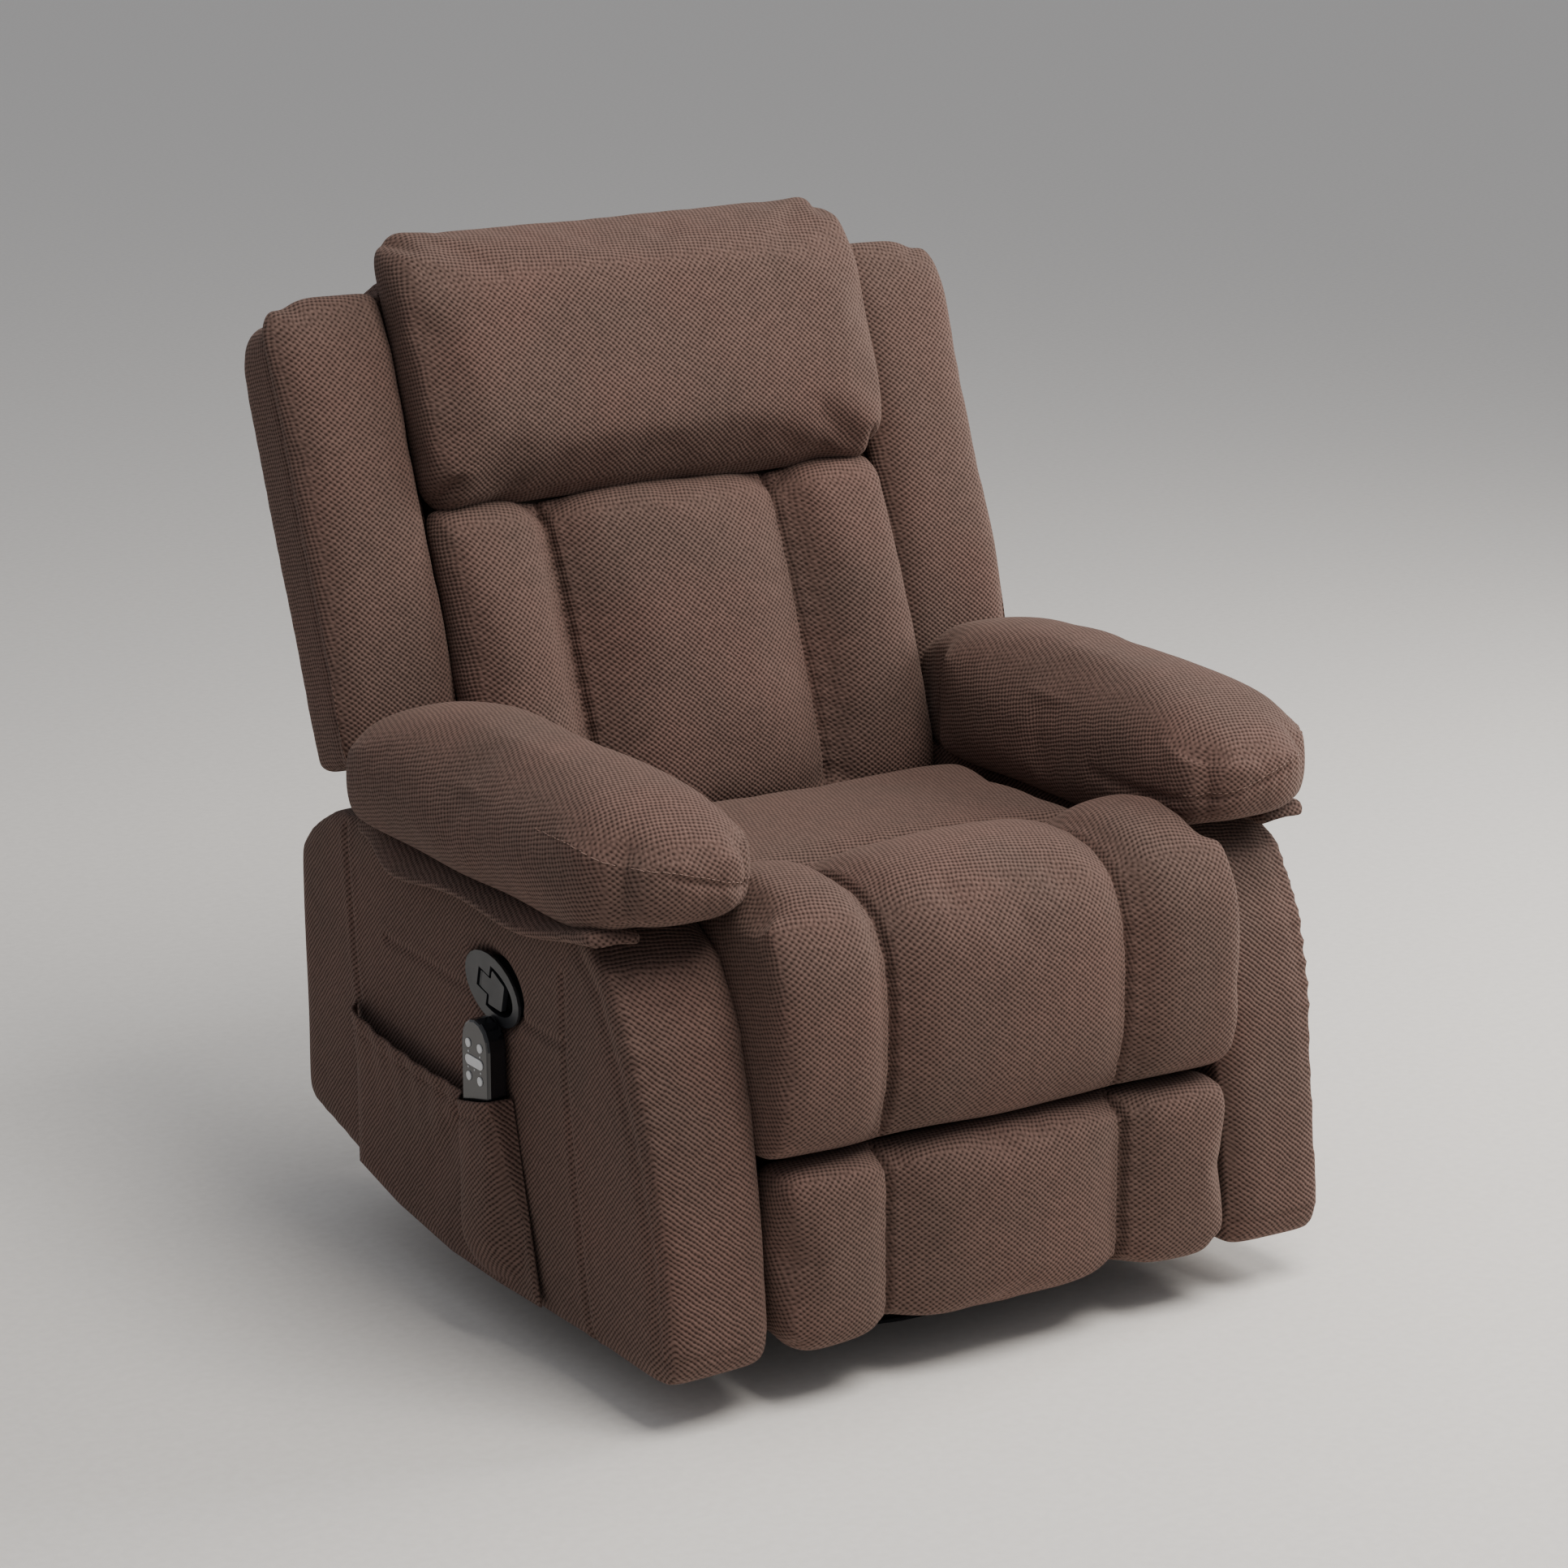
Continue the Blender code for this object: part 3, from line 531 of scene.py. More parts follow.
def chenille(name, rows, ribs):
    """Rows of staggered plump stitches, seen square on along the three axes and blended between.

    rows gives the angle of the rows in degrees for each axis, and ribs how strongly they show.
    """
    g = Graph(name)
    where = g.node("ShaderNodeTexCoord")
    place, facing = where.outputs["Object"], where.outputs["Normal"]
    wander = g.vector("SUBTRACT", g.noise(place, 60, 1, True), (0.5, 0.5, 0.5))
    wander = g.vector("SCALE", wander)
    wander.node.inputs["Scale"].default_value = WANDER
    warped = g.vector("ADD", place, wander)
    size = g.vector("ABSOLUTE", facing)
    size = g.vector("POWER", size, (5, 5, 5))
    shares = g.node("ShaderNodeSeparateXYZ")
    g.link(size, shares.inputs[0])
    total = g.math("ADD", g.math("ADD", shares.outputs[0], shares.outputs[1]), shares.outputs[2])
    planes = (((0, 1, 0), (0, 0, 1)), ((1, 0, 0), (0, 0, 1)), ((1, 0, 0), (0, 1, 0)))
    height = 0.0
    for (u, v), angle, share in zip(planes, rows, shares.outputs):
        along, across = math.cos(math.radians(angle)), math.sin(math.radians(angle))
        u, v = np.array(u), np.array(v)
        row = tuple((u * along + v * across) * 2 * math.pi / ROW_SPACING)
        turn = math.radians(angle + STITCH_TURN)
        stitch = tuple((u * math.cos(turn) + v * math.sin(turn)) * 2 * math.pi / STITCH_SPACING)
        row_wave = g.math("SINE", g.vector("DOT_PRODUCT", warped, row))
        stitch_wave = g.math("SINE", g.vector("DOT_PRODUCT", warped, stitch))
        wave = g.math("ADD", g.math("MULTIPLY", row_wave, ribs),
                      g.math("MULTIPLY", stitch_wave, 0.5 - ribs))
        height = g.math("ADD", height, g.math("MULTIPLY", wave, g.math("DIVIDE", share, total)))
    fuzz = g.noise(place, 700, 2)
    height = g.math("ADD", g.math("ADD", height, 0.42), g.math("MULTIPLY", fuzz, 0.22))
    # Colour follows the stitch height: painted shade in the low gaps of the weave, and the raised tops
    # painted lighter as a painted sheen
    between = tuple(0.62 * t + 0.38 * s for t, s in zip(THREAD, GAP_SHADE))
    shade = g.ramp(height, (0.16, GAP_SHADE), (0.46, between), (0.85, THREAD))
    patches = g.ramp(g.noise(place, 8, 3), (0.34, (0.93, 0.965, 0.965)), (0.68, (1.07, 1.02, 1.02)))
    fine = g.ramp(g.noise(place, 110, 2), (0.3, (0.88, 0.88, 0.88)), (0.7, (1.10, 1.10, 1.10)))
    shade = g.mix(1.0, g.mix(1.0, shade, patches, "MULTIPLY"), fine, "MULTIPLY")
    g.link(shade, g.shader.inputs["Base Color"])
    g.link(g.ramp(height, (0.2, (0.98,) * 3), (0.9, (0.80,) * 3)), g.shader.inputs["Roughness"])
    g.link(g.bump(height, 0.0010), g.shader.inputs["Normal"])
    g.set(Sheen_Weight=0.12, Sheen_Roughness=0.5, Sheen_Tint=(1.0, 0.72, 0.60, 1.0),
          Specular_IOR_Level=0.16)
    return g.material


def metal(name, colour, roughness, grain, metallic=1.0, coat=0.0):
    """Metal or paint on it, with fine specks and patches of wear."""
    g = Graph(name)
    place = g.node("ShaderNodeTexCoord").outputs["Object"]
    speck = g.noise(place, grain, 3)
    wear = g.noise(place, 14, 4)
    dark = tuple(c * 0.72 for c in colour)
    g.link(g.mix(wear, colour, dark), g.shader.inputs["Base Color"])
    g.link(g.ramp(wear, (0.3, (roughness * 0.8,) * 3), (0.75, (min(1, roughness * 1.25),) * 3)),
           g.shader.inputs["Roughness"])
    g.link(g.bump(speck, 0.0002, 0.5), g.shader.inputs["Normal"])
    g.set(Metallic=metallic, Coat_Weight=coat, Coat_Roughness=0.25)
    return g.material


def plastic(name, colour, roughness, grain, depth, coat=0.0):
    """Plastic, rubber or thread, with a fine grain of that depth and a slight rub."""
    g = Graph(name)
    place = g.node("ShaderNodeTexCoord").outputs["Object"]
    speck = g.noise(place, grain, 2)
    rub = g.noise(place, 40, 3)
    g.link(g.mix(rub, colour, tuple(c * 0.8 for c in colour)), g.shader.inputs["Base Color"])
    g.link(g.ramp(rub, (0.3, (roughness * 0.85,) * 3), (0.7, (min(1, roughness * 1.15),) * 3)),
           g.shader.inputs["Roughness"])
    g.link(g.bump(speck, depth, 0.6), g.shader.inputs["Normal"])
    g.set(Coat_Weight=coat, Coat_Roughness=0.08)
    return g.material


def plywood(name):
    """Dark-stained birch, its grain drawn out along x."""
    g = Graph(name)
    place = g.node("ShaderNodeTexCoord").outputs["Object"]
    bent = g.vector("MULTIPLY", place, (3.0, 22.0, 22.0))
    grain = g.noise(bent, 6, 5)
    shade = g.ramp(grain, (0.3, (0.052, 0.034, 0.022)), (0.5, (0.070, 0.046, 0.030)),
                   (0.72, (0.038, 0.024, 0.016)))
    g.link(shade, g.shader.inputs["Base Color"])
    g.link(g.bump(grain, 0.0005, 0.4), g.shader.inputs["Normal"])
    g.set(Roughness=0.7)
    return g.material


def felt(name, colour):
    g = Graph(name)
    place = g.node("ShaderNodeTexCoord").outputs["Object"]
    fibre = g.noise(place, 520, 4)
    shade = g.ramp(fibre, (0.3, tuple(c * 0.6 for c in colour)), (0.7, colour))
    g.link(shade, g.shader.inputs["Base Color"])
    g.link(g.bump(fibre, 0.0008, 0.8), g.shader.inputs["Normal"])
    g.set(Roughness=0.95, Sheen_Weight=0.3, Sheen_Roughness=0.6)
    return g.material


fabric = chenille("chenille_front", (75, 50, 82), 0.27)
fabric_side = chenille("chenille_side", (45, 50, 82), 0.36)
seam_thread = plastic("sewing_thread", (0.24, 0.15, 0.12), 0.8, 2500, 0.0002)
looks = {
    "chenille": fabric,
    "black_steel": metal("powder_coated_steel", (0.012, 0.012, 0.013), 0.42, 600, 0.0, 0.15),
    "zinc_steel": metal("zinc_plated_steel", (0.62, 0.62, 0.60), 0.34, 260),
    "spring_steel": metal("oiled_spring_steel", (0.20, 0.20, 0.21), 0.38, 400),
    "plywood": plywood("plywood"),
    "rubber": plastic("rubber", (0.010, 0.010, 0.011), 0.78, 500, 0.0002),
    "charcoal_plastic": plastic("charcoal_plastic", (0.019, 0.020, 0.023), 0.36, 1400, 0.0001),
    "gloss_plastic": plastic("gloss_plastic", (0.007, 0.007, 0.009), 0.2, 800, 0.00003, 0.25),
    "button_white": plastic("button_white", (0.62, 0.63, 0.64), 0.35, 900, 0.00005, 0.2),
    "felt": felt("felt", (0.10, 0.10, 0.11)),
}

# The CAD pieces that stay are given the better material in place of their plain one
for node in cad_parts.values():
    for place in node.material_slots:
        base = place.material.name.split(".")[0]
        if base in looks:
            place.link = "OBJECT"
            place.material = looks[base]


# Soft pieces: begun, stuffed together, then finished

ARM_OUTLINE = [(-0.416, 0.052), (-0.063, 0.050), (0.066, 0.062), (0.181, 0.083), (0.273, 0.108),
               (0.353, 0.128), (0.357, 0.415), (0.325, 0.446), (0.273, 0.474), (0.200, 0.485),
               (-0.270, 0.482), (-0.324, 0.447), (-0.365, 0.377), (-0.393, 0.295), (-0.414, 0.194),
               (-0.428, 0.081)]
LEVER_CENTRE = (-0.0955, 0.377)
LEVER_TILT = math.radians(13.6)
LEVER_HALVES = (0.054, 0.0335)


def lever_reach(points):
    """1 at the rim of the hollow for the lever, less inside it."""
    c, s = math.cos(LEVER_TILT), math.sin(LEVER_TILT)
    y, z = points[:, 1] - LEVER_CENTRE[0], points[:, 2] - LEVER_CENTRE[1]
    return np.hypot((y * c + z * s) / LEVER_HALVES[0], (-y * s + z * c) / LEVER_HALVES[1])


def arm_shape(points, facing):
    """Front edges rounded back, the side full in its middle, and a hollow for the lever on the left."""
    across = (np.abs(points[:, 0]) - 0.346) / 0.064
    front = ramp(-facing[:, 1], 0.15, 0.7)
    points = points + np.array((0, 1.0, 0)) * (front * 0.012 * across ** 4)[:, None]
    outward = ramp(facing[:, 0] * np.sign(points[:, 0]), 0.3, 0.8)
    y, z = points[:, 1], points[:, 2]
    swell = np.clip(1 - ((y + 0.03) / 0.40) ** 2, 0, 1) * np.clip(1 - ((z - 0.26) / 0.23) ** 2, 0, 1)
    pull = outward * (0.006 * (1 - swell))
    points = points - facing * pull[:, None]
    at_lever = (points[:, 0] < -0.38) & (lever_reach(points) < 1)
    points[at_lever, 0] += 0.022 * (1 - ramp(lever_reach(points)[at_lever], 0.85, 1.0))
    return points


softs = {
    "headrest": start_soft(
        "headrest_soft", "headrest_cushion", VOXEL, rounds=34, inset=0.004,
        shape=in_back(headrest_shape),
        pins=pins_in_back(lambda p, n: ramp(p[:, 1], -0.085, -0.072)), cap=0.012),
    "back": start_soft(
        "back_cushion_soft", "back_cushion", VOXEL, rounds=14, inset=0.003, shape=in_back(back_shape),
        pins=pins_in_back(groove_pins(lambda p, n: ramp(-p[:, 1], 0.070, 0.080))), cap=0.014),
}
for side_name in ("left", "right"):
    softs[f"wing_{side_name}"] = start_soft(
        f"wing_{side_name}_soft", f"wing_{side_name}", VOXEL, rounds=14, inset=0.002,
        shape=in_back(wing_shape),
        pins=pins_in_back(lambda p, n: ramp(p[:, 1], -0.075, -0.066)), cap=0.008)
    softs[f"pad_{side_name}"] = start_soft(
        f"arm_{side_name}_pad_soft", f"arm_{side_name}_pad", VOXEL, rounds=22, inset=0.003,
        shape=pad_shape, pins=underside_pins, cap=0.009)
softs["panel"] = start_soft(
    "back_panel_soft", "back_panel", 0.008, rounds=3, inset=0.001, shape=in_back(back_panel_shape))
softs["seat"] = start_soft(
    "seat_cushion_soft", "seat_cushion", VOXEL, rounds=8, inset=0.003, shape=seat_shape,
    pins=underside_pins, cap=0.008)
softs["bolster"] = start_soft(
    "seat_bolster_soft", "seat_bolster", VOXEL, rounds=12, inset=0.003, shape=bolster_shape,
    pins=groove_pins(bolster_mask), cap=0.012)
softs["footrest"] = start_soft(
    "footrest_pad_soft", "footrest_pad", 0.006, rounds=12, inset=0.002, shape=footrest_shape,
    pins=groove_pins(lambda p, n: ramp(-n[:, 1], -0.6, 0.0)), cap=0.009)
for side_name, low, high in (("left", -0.410, -0.2825), ("right", 0.2825, 0.410)):
    softs[f"arm_{side_name}"] = start_soft(
        f"arm_{side_name}_soft", (ARM_OUTLINE, low, high), VOXEL, rounds=7, inset=0.0, shape=arm_shape)
softs["rear"] = start_soft("rear_panel_soft", "rear_panel", 0.004, rounds=2, inset=0.0)

if stuffing:
    stuff_all()


def groove_detail(mask_of, seed, width=0.0034, depth=0.008):
    """A tight sewn line down each groove, with the little puckers that run out from it."""
    def details(points, facing):
        mask = mask_of(points, facing)
        points = points.copy()
        beside = np.abs(points[:, 0]) - GROOVE
        near = np.clip(np.abs(beside) / 0.014, 1e-6, 1)
        points[:, 0] += np.sign(points[:, 0]) * beside * (near ** 0.7 - 1) * mask
        off = np.abs(np.abs(points[:, 0]) - GROOVE)
        line = bell(off, width) * depth
        along = points[:, 1] * 0.7 - points[:, 2]
        wave = np.sin(along * 2 * math.pi / 0.026 + 3 * lumps(points, 0.2, seed))
        pucker = 0.0005 * bell(off, 0.018) * wave
        uneven = 0.0014 * lumps(points, 0.16, seed + 1)
        return points - facing * ((line + pucker) * mask + uneven)[:, None]
    return details


def uneven_detail(amount, size, seed):
    """Only the unevenness of stuffing."""
    return lambda points, facing: points + facing * (amount * lumps(points, size, seed))[:, None]


def wing_detail(seed):
    """A little unevenness, and the lower end drawn down behind the arm pad."""
    def details(points, facing):
        points = points + facing * (0.0012 * lumps(points, 0.2, seed))[:, None]
        low = 1 - ramp(points[:, 2], 0.150, 0.215)
        front = ramp(-facing[:, 1], 0, 0.6)
        return points + np.stack((0 * low, 0.010 * low * front, -0.056 * low), axis=1)
    return in_back(details)


SIDE_SEAMS = (
    # Each side of the lever, on the left arm only; then the long one at the front and one at the rear
    [(0.140, 0.366), (0.060, 0.364), (-0.040, 0.362)],
    [(-0.152, 0.358), (-0.200, 0.356), (-0.240, 0.360)],
    [(-0.236, 0.430), (-0.240, 0.340), (-0.252, 0.200), (-0.272, 0.058)],
    [(0.238, 0.465), (0.224, 0.380), (0.205, 0.282)],
)
FRONT_EDGE = [(-0.285, 0.478), (-0.322, 0.450), (-0.364, 0.377), (-0.392, 0.295), (-0.413, 0.194),
              (-0.427, 0.081), (-0.424, 0.055)]


def arm_detail(side, seed):
    """Sewn lines on the side, the rolled edge beside the front, and the hem near the floor."""
    def details(points, facing):
        outward = ramp(facing[:, 0] * side, 0.3, 0.8)
        pull = np.zeros(len(points))
        for seam in SIDE_SEAMS if side < 0 else SIDE_SEAMS[2:]:
            off = path_distance(points[:, 1:], seam)
            pull += outward * (0.0024 * bell(off, 0.0040) - 0.0008 * bell(off - 0.010, 0.006))
        edge = path_distance(points, [(side * 0.404, y, z) for y, z in FRONT_EDGE])
        pull -= 0.0034 * bell(edge, 0.0095)
        pull += outward * 0.0035 * bell(edge - 0.024, 0.009)
        front = ramp(-facing[:, 1], 0.3, 0.8)
        pull += front * 0.0018 * bell(points[:, 2] - 0.083, 0.0035)
        ripple = np.sin(points[:, 2] * 2 * math.pi / 0.031 + lumps(points, 0.12, seed))
        pull -= (0.0004 if side < 0 else 0) * ripple * bell(edge, 0.03)
        shoulder = ramp(points[:, 2], 0.16, 0.40) * ramp(-points[:, 1], 0.10, 0.34)
        pull -= shoulder * (0.007 * outward + 0.010 * ramp(facing[:, 2], -0.2, 0.5))
        return points + facing * (0.0012 * lumps(points, 0.2, seed) - pull)[:, None]
    return details


PAD_SEAM = [(0.447, 0.190, 0.540), (0.449, 0.100, 0.556), (0.449, -0.060, 0.577),
            (0.449, -0.200, 0.584), (0.449, -0.300, 0.582), (0.440, -0.355, 0.577),
            (0.400, -0.384, 0.566), (0.340, -0.388, 0.550), (0.290, -0.376, 0.536),
            (0.258, -0.330, 0.530), (0.254, -0.200, 0.535)]


def pad_detail(side, seed):
    """The boxing seam round the outer side and nose with its puckers, and the inner side tucked in."""
    seam = [(side * x, y, z) for x, y, z in PAD_SEAM]

    def details(points, facing):
        off = path_distance(points, seam)
        clear = 0.35 + 0.65 * ramp(-points[:, 1], 0.18, 0.30)
        pull = clear * 0.0040 * bell(off, 0.0045)
        around = points[:, 1] + side * points[:, 0]
        pull += clear * 0.0006 * bell(off, 0.018) * np.sin(around * 2 * math.pi / 0.017)
        points = points + facing * (0.0014 * lumps(points, 0.14, seed) - pull)[:, None]
        tucked = ramp(-facing[:, 0] * side, -0.3, 0.5) * ramp(-facing[:, 2], -0.2, 0.5)
        tucked *= ramp(points[:, 1], -0.36, -0.24)
        return points + tucked[:, None] * np.array((-side * 0.006, 0, -0.014))
    return details


finished(softs["headrest"], "headrest_cushion", "back", look=fabric,
         details=uneven_detail(0.0012, 0.2, 3), grow=0.005)
finished(softs["back"], "back_cushion", "back", look=fabric,
         details=in_back(groove_detail(front_mask, 11)), grow=0.006)
for side_name, side, seed in (("left", -1, 21), ("right", 1, 31)):
    finished(softs[f"wing_{side_name}"], f"wing_{side_name}", "back", look=fabric,
             details=wing_detail(seed), grow=0.003)
    finished(softs[f"pad_{side_name}"], f"arm_{side_name}_pad", "chassis", look=fabric,
             details=pad_detail(side, seed + 1), grow=0.002)
    finished(softs[f"arm_{side_name}"], f"arm_{side_name}_body", "chassis",
             look=fabric_side, details=arm_detail(side, seed + 2))
finished(softs["panel"], "back_panel", "back", look=fabric,
         details=uneven_detail(0.0010, 0.2, 41))
finished(softs["seat"], "seat_cushion", "chassis", look=fabric,
         details=uneven_detail(0.0016, 0.16, 42), grow=0.004)
finished(softs["bolster"], "seat_bolster", "chassis", look=fabric,
         details=groove_detail(bolster_mask, 51), grow=0.004)
finished(softs["footrest"], "footrest_pad", "footrest", look=fabric,
         details=groove_detail(front_mask, 61), grow=0.0015)
finished(softs["rear"], "rear_panel", "chassis", look=fabric)


# Flaps, pocket and small fittings

FLAP_REAR, FLAP_FRONT = 0.205, -0.338
FLAP_STEPS, FLAP_SIDES = 75, 20


def flap(side_name, side):
    """The doubled lip of cloth that hangs out between an arm and its pad."""
    form = bmesh.new()
    rings = []
    for k, y in enumerate(np.linspace(FLAP_REAR, FLAP_FRONT, FLAP_STEPS + 1)):
        t = k / FLAP_STEPS
        # How far out its lip reaches, how low it hangs and half its thickness
        out = 0.404 + 0.033 * ramp(np.array(t), 0.0, 0.30) + 0.002 * math.sin(9 * t) - 0.010 * t ** 4
        low = 0.462 + 0.005 * math.cos(13 * t) + 0.020 * t ** 3
        thick = (0.0042 + 0.0045 * t ** 4) * math.sqrt(max(1 - (2 * max(t - 0.97, 0) / 0.06) ** 2, 0.02))
        start, end = np.array((0.385, 0.4885)), np.array((out, low + thick))
        middle = (start + end) / 2 + np.array((0.006, 0.004))
        way = (end - start) / np.linalg.norm(end - start)
        ring = []
        for a in np.linspace(0, 2 * math.pi, FLAP_SIDES, endpoint=False):
            spread = np.array((math.cos(a), math.sin(a)))
            centre = end if spread[0] > 0 else start
            centre = middle if abs(spread[0]) < 0.2 else centre
            offset = way * spread[0] + np.array((-way[1], way[0])) * spread[1]
            x, z = centre + offset * thick
            ring.append(form.verts.new((side * x, y, z)))
        rings.append(ring)
    skin(form, rings)
    bmesh.ops.recalc_face_normals(form, faces=form.faces)
    thing = made_of(form, f"arm_{side_name}_flap")
    level = thing.modifiers.new("Subdivision", "SUBSURF")
    level.levels = level.render_levels = 1
    thing.data.materials.append(fabric)
    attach(thing, "chassis")


flap("left", -1)
flap("right", 1)

POCKET_TOP = [(0.207, 0.280), (0.127, 0.266), (0.037, 0.259), (-0.068, 0.2565), (-0.133, 0.272)]
POCKET_BASE = [(0.207, 0.098), (0.120, 0.078), (0.000, 0.063), (-0.100, 0.062), (-0.186, 0.064)]
POCKET_FACE = -0.4122
REMOTE_MIDDLE = -0.100


def along_line(points, t):
    """The point a share t of the way through a polyline's corners, whatever their spacing."""
    steps = t * (len(points) - 1)
    k = min(int(steps), len(points) - 2)
    f = steps - k
    return tuple(a + (b - a) * f for a, b in zip(points[k], points[k + 1]))


def pocket():
    """One sheet sewn to the arm along three edges, pushed out by the remote and folded beside it."""
    columns, rows = 84, 56
    form = bmesh.new()
    grid = []
    for i in range(columns + 1):
        u = 1 - (1 - i / columns) ** 1.5
        top, base = along_line(POCKET_TOP, u), along_line(POCKET_BASE, u)
        line = []
        for j in range(rows + 1):
            v = j / rows
            y = base[0] + (top[0] - base[0]) * v
            z = base[1] + (top[1] - base[1]) * v
            down = top[1] - z
            # Sewn flat at the ends and the base, and open at the top
            edge = min(1, u / 0.05, (1 - u) / 0.011, v / 0.07)
            edge = edge * edge * (3 - 2 * edge)
            # Pushed out by the remote, with folds that fan out from the corner of its opening
            beside = y - REMOTE_MIDDLE
            held = math.exp(-(beside / 0.050) ** 4) * (1 - min(1, max(0, (down - 0.130) / 0.060)) ** 2)
            slack = math.exp(-(down / 0.07) ** 2) * 0.010 + 0.003
            turn = math.atan2(beside, down + 0.02)
            reach = math.hypot(beside, down)
            fold = 0.0038 * math.sin(turn * 13 + 0.8) * min(1, reach / 0.06) * math.exp(-reach / 0.15)
            gather = 0.0013 * math.sin(y * 2 * math.pi / 0.041) * math.exp(-down / 0.05)
            hem = 0.0012 if down < 0.017 else 0.0
            seam = 0.0016 * math.exp(-((down - 0.018) / 0.0022) ** 2)
            out = edge * (max(0.0298 * held, slack) + (fold + gather) * (1 - 0.8 * held) + hem - seam)
            line.append(form.verts.new((POCKET_FACE - max(out, 0), y, z)))
        grid.append(line)
    for i in range(columns):
        for j in range(rows):
            form.faces.new((grid[i][j], grid[i + 1][j], grid[i + 1][j + 1], grid[i][j + 1]))
    bmesh.ops.recalc_face_normals(form, faces=form.faces)
    thing = made_of(form, "side_pocket_cloth")
    thick = thing.modifiers.new("Solidify", "SOLIDIFY")
    thick.thickness = 0.0022
    thick.offset = 0
    thing.data.materials.append(fabric_side)
    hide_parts("side_pocket")
    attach(thing, "chassis")


pocket()

LAMPS = [(-0.112, 0.3135), (-0.088, 0.3135), (-0.113, 0.2965), (-0.100, 0.2965), (-0.087, 0.2965)]
LAMP_RADIUS, LAMP_HEIGHT = 0.0011, 0.0006
LAMP_PROFILE = ((1.0, 0.0), (1.0, 0.5), (0.8, 0.9), (0.4, 1.0))


def lamps():
    """Small round caps lying on the remote's face."""
    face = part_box("remote_shell")[0].x
    form = bmesh.new()
    for y, z in LAMPS:
        rings = []
        for share, out in LAMP_PROFILE:
            r, x = LAMP_RADIUS * share, face - out * LAMP_HEIGHT
            rings.append([form.verts.new((x, y + r * math.cos(a), z + r * math.sin(a)))
                          for a in np.linspace(0, 2 * math.pi, 14, endpoint=False)])
        skin(form, rings)
    bmesh.ops.recalc_face_normals(form, faces=form.faces)
    thing = made_of(form, "remote_lamps")
    thing.data.materials.append(looks["button_white"])
    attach(thing, "remote")


lamps()

STITCH_GAP, STITCH_LENGTH, STITCH_RADIUS = 0.0062, 0.0040, 0.00055
STITCH_PROFILE = ((-0.5, 0.35), (-0.3, 0.9), (0.3, 0.9), (0.5, 0.35))


def stitches(name, surface, path, body):
    """Thread showing in short raised dashes along a path laid on a soft piece."""
    tree = BVHTree.FromObject(surface, bpy.context.evaluated_depsgraph_get())
    path = [Vector(point) for point in path]
    form = bmesh.new()
    travelled, due = 0.0, STITCH_GAP / 2
    for p, q in zip(path[:-1], path[1:]):
        span = (q - p).length
        while due < travelled + span:
            spot, facing, _, _ = tree.find_nearest(p.lerp(q, (due - travelled) / span))
            way = (q - p).normalized()
            way = (way - facing * way.dot(facing)).normalized()
            across = facing.cross(way)
            rings = []
            for s, r in STITCH_PROFILE:
                centre = spot + facing * 0.0002 + way * (s * STITCH_LENGTH)
                around = [across * math.cos(a) + facing * math.sin(a)
                          for a in np.linspace(0, 2 * math.pi, 6, endpoint=False)]
                rings.append([form.verts.new(centre + spoke * r * STITCH_RADIUS) for spoke in around])
            skin(form, rings)
            due += STITCH_GAP
        travelled += span
    thing = made_of(form, name)
    thing.data.materials.append(seam_thread)
    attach(thing, body)


NOSE_SEAM = [(0.449, -0.235, 0.589), (0.449, -0.300, 0.588), (0.440, -0.355, 0.583),
             (0.400, -0.384, 0.572), (0.340, -0.388, 0.556), (0.290, -0.376, 0.542),
             (0.262, -0.345, 0.535)]
for side_name, side in (("left", -1), ("right", 1)):
    stitches(f"arm_{side_name}_pad_stitches", softs[f"pad_{side_name}"],
             [(side * x, y, z) for x, y, z in NOSE_SEAM], "chassis")


# Floor, light and camera

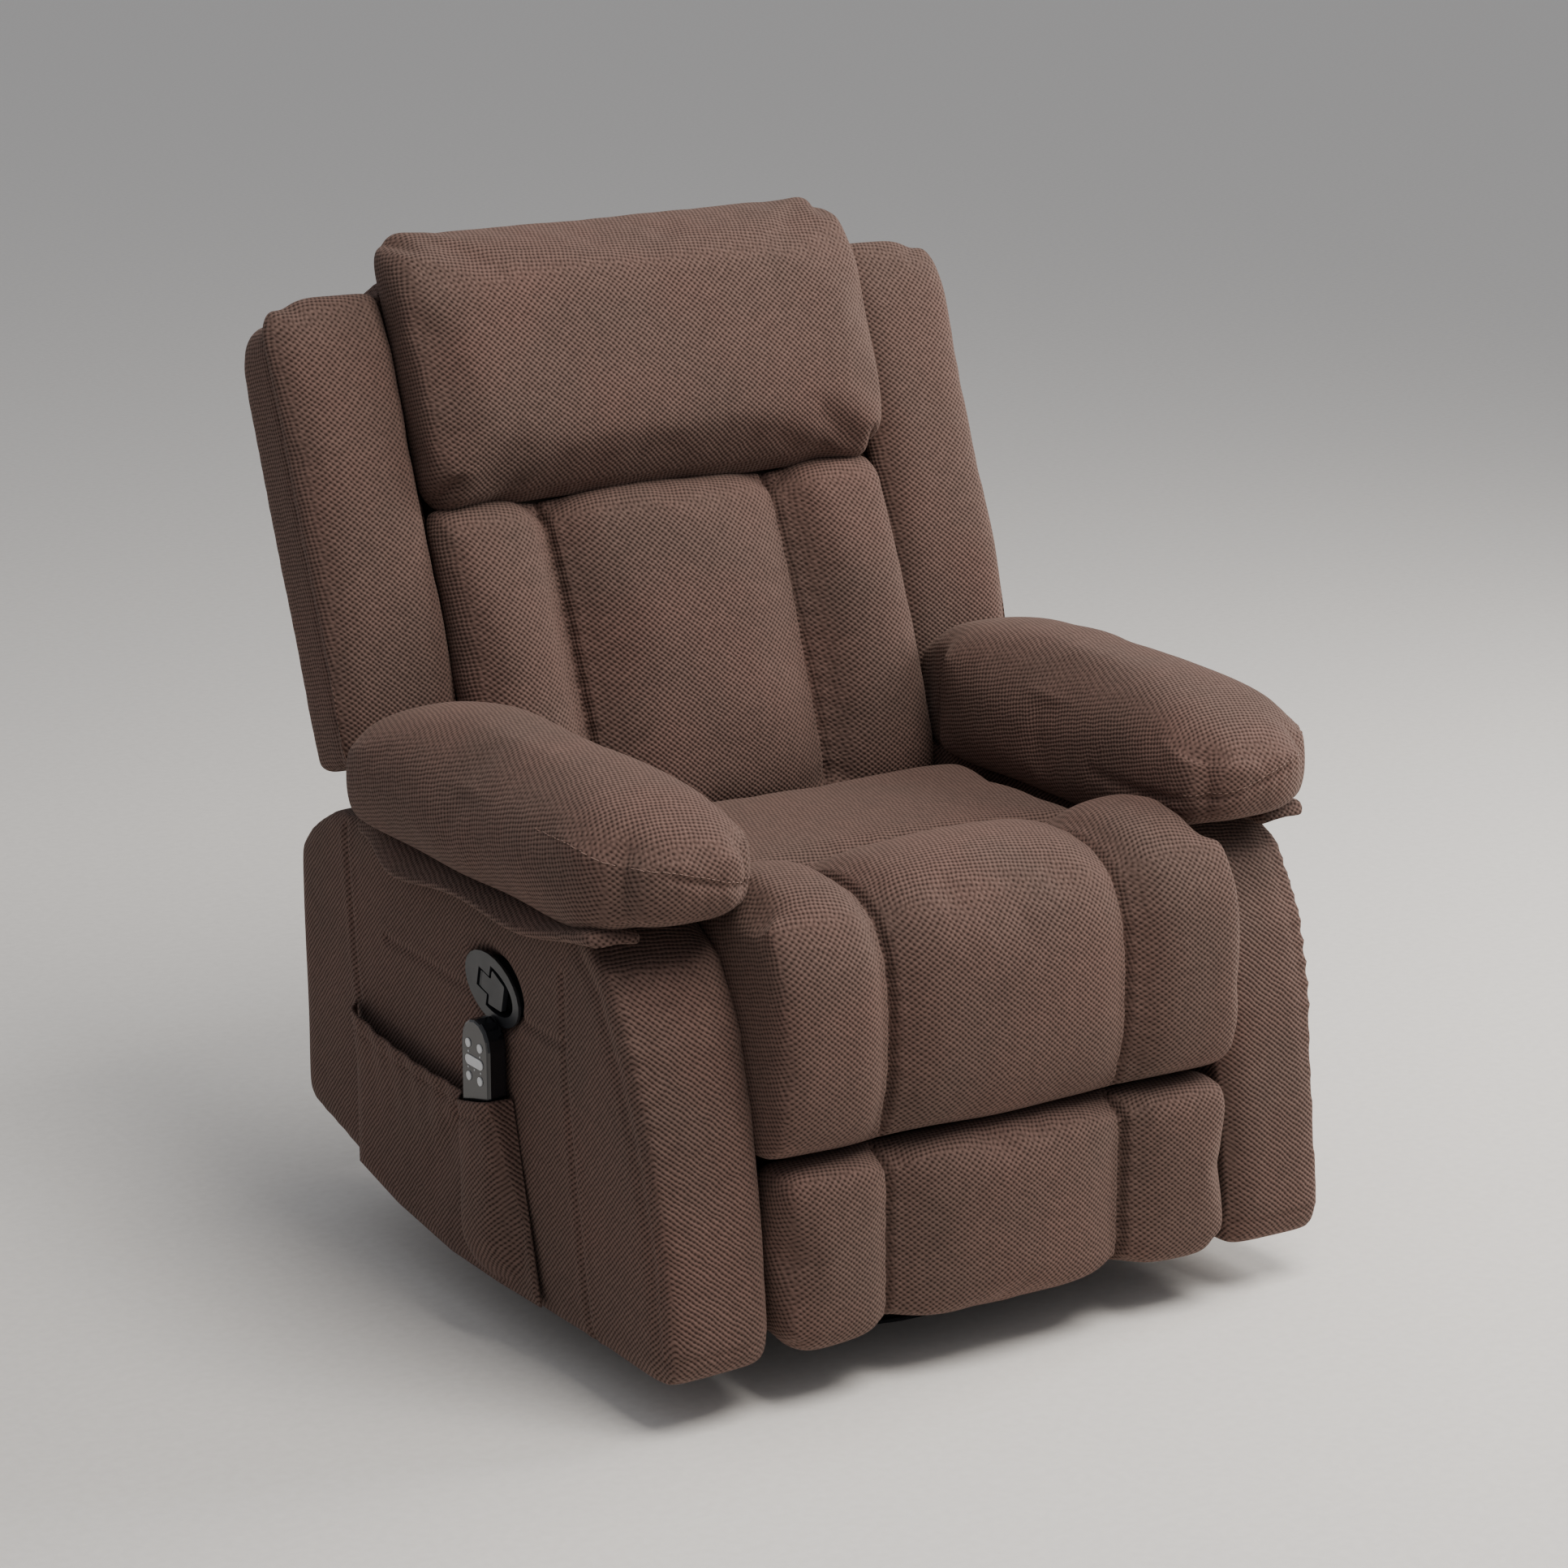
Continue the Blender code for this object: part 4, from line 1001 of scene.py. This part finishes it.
def area_light(name, place, target, size, power, colour):
    data = bpy.data.lights.new(name, "AREA")
    data.shape = "RECTANGLE"
    data.size, data.size_y = size
    data.energy = power
    data.color = colour
    thing = bpy.data.objects.new(name, data)
    thing.location = place
    thing.rotation_euler = (Vector(target) - Vector(place)).to_track_quat("-Z", "Y").to_euler()
    scene.collection.objects.link(thing)


FLOOR_CORNERS = [(-40, -40, 0), (40, -40, 0), (40, 40, 0), (-40, 40, 0)]
floor_mesh = bpy.data.meshes.new("floor")
floor_mesh.from_pydata(FLOOR_CORNERS, [], [(0, 1, 2, 3)])
floor = new_object("floor", floor_mesh)
floor_look = Graph("floor_pale")
floor_place = floor_look.node("ShaderNodeTexCoord").outputs["Object"]
floor_shade = floor_look.ramp(floor_look.noise(floor_place, 90, 4),
                              (0.3, (0.76, 0.73, 0.69)), (0.7, (0.81, 0.78, 0.74)))
floor_look.link(floor_shade, floor_look.shader.inputs["Base Color"])
floor_look.set(Roughness=0.9)
floor.data.materials.append(floor_look.material)

world = bpy.data.worlds.new("studio")
world.use_nodes = True
world.node_tree.nodes["Background"].inputs["Color"].default_value = (0.93, 0.95, 1.0, 1)
world.node_tree.nodes["Background"].inputs["Strength"].default_value = 0.42
scene.world = world
area_light("window", (3.0, -0.6, 2.0), (0, 0, 0.7), (1.8, 1.8), 106, (1.0, 0.97, 0.93))
area_light("ceiling", (0.3, -1.6, 3.4), (0, 0, 0.5), (1.8, 1.8), 116, (1.0, 0.96, 0.91))

# Fitted to the photo's perspective. It looks down a little, from in front of the chair's left arm.
CAMERA_PLACE = (-2.465, -3.85, 1.791)
CAMERA_DOWN, CAMERA_TURN = 15.7, -32.6
camera_data = bpy.data.cameras.new("camera")
camera_data.sensor_width = 36
camera_data.lens = 102.48
camera_data.clip_start, camera_data.clip_end = 0.1, 60
camera = bpy.data.objects.new("camera", camera_data)
camera.location = CAMERA_PLACE
camera.rotation_euler = (math.radians(90 - CAMERA_DOWN), 0, math.radians(CAMERA_TURN))
scene.collection.objects.link(camera)
scene.camera = camera
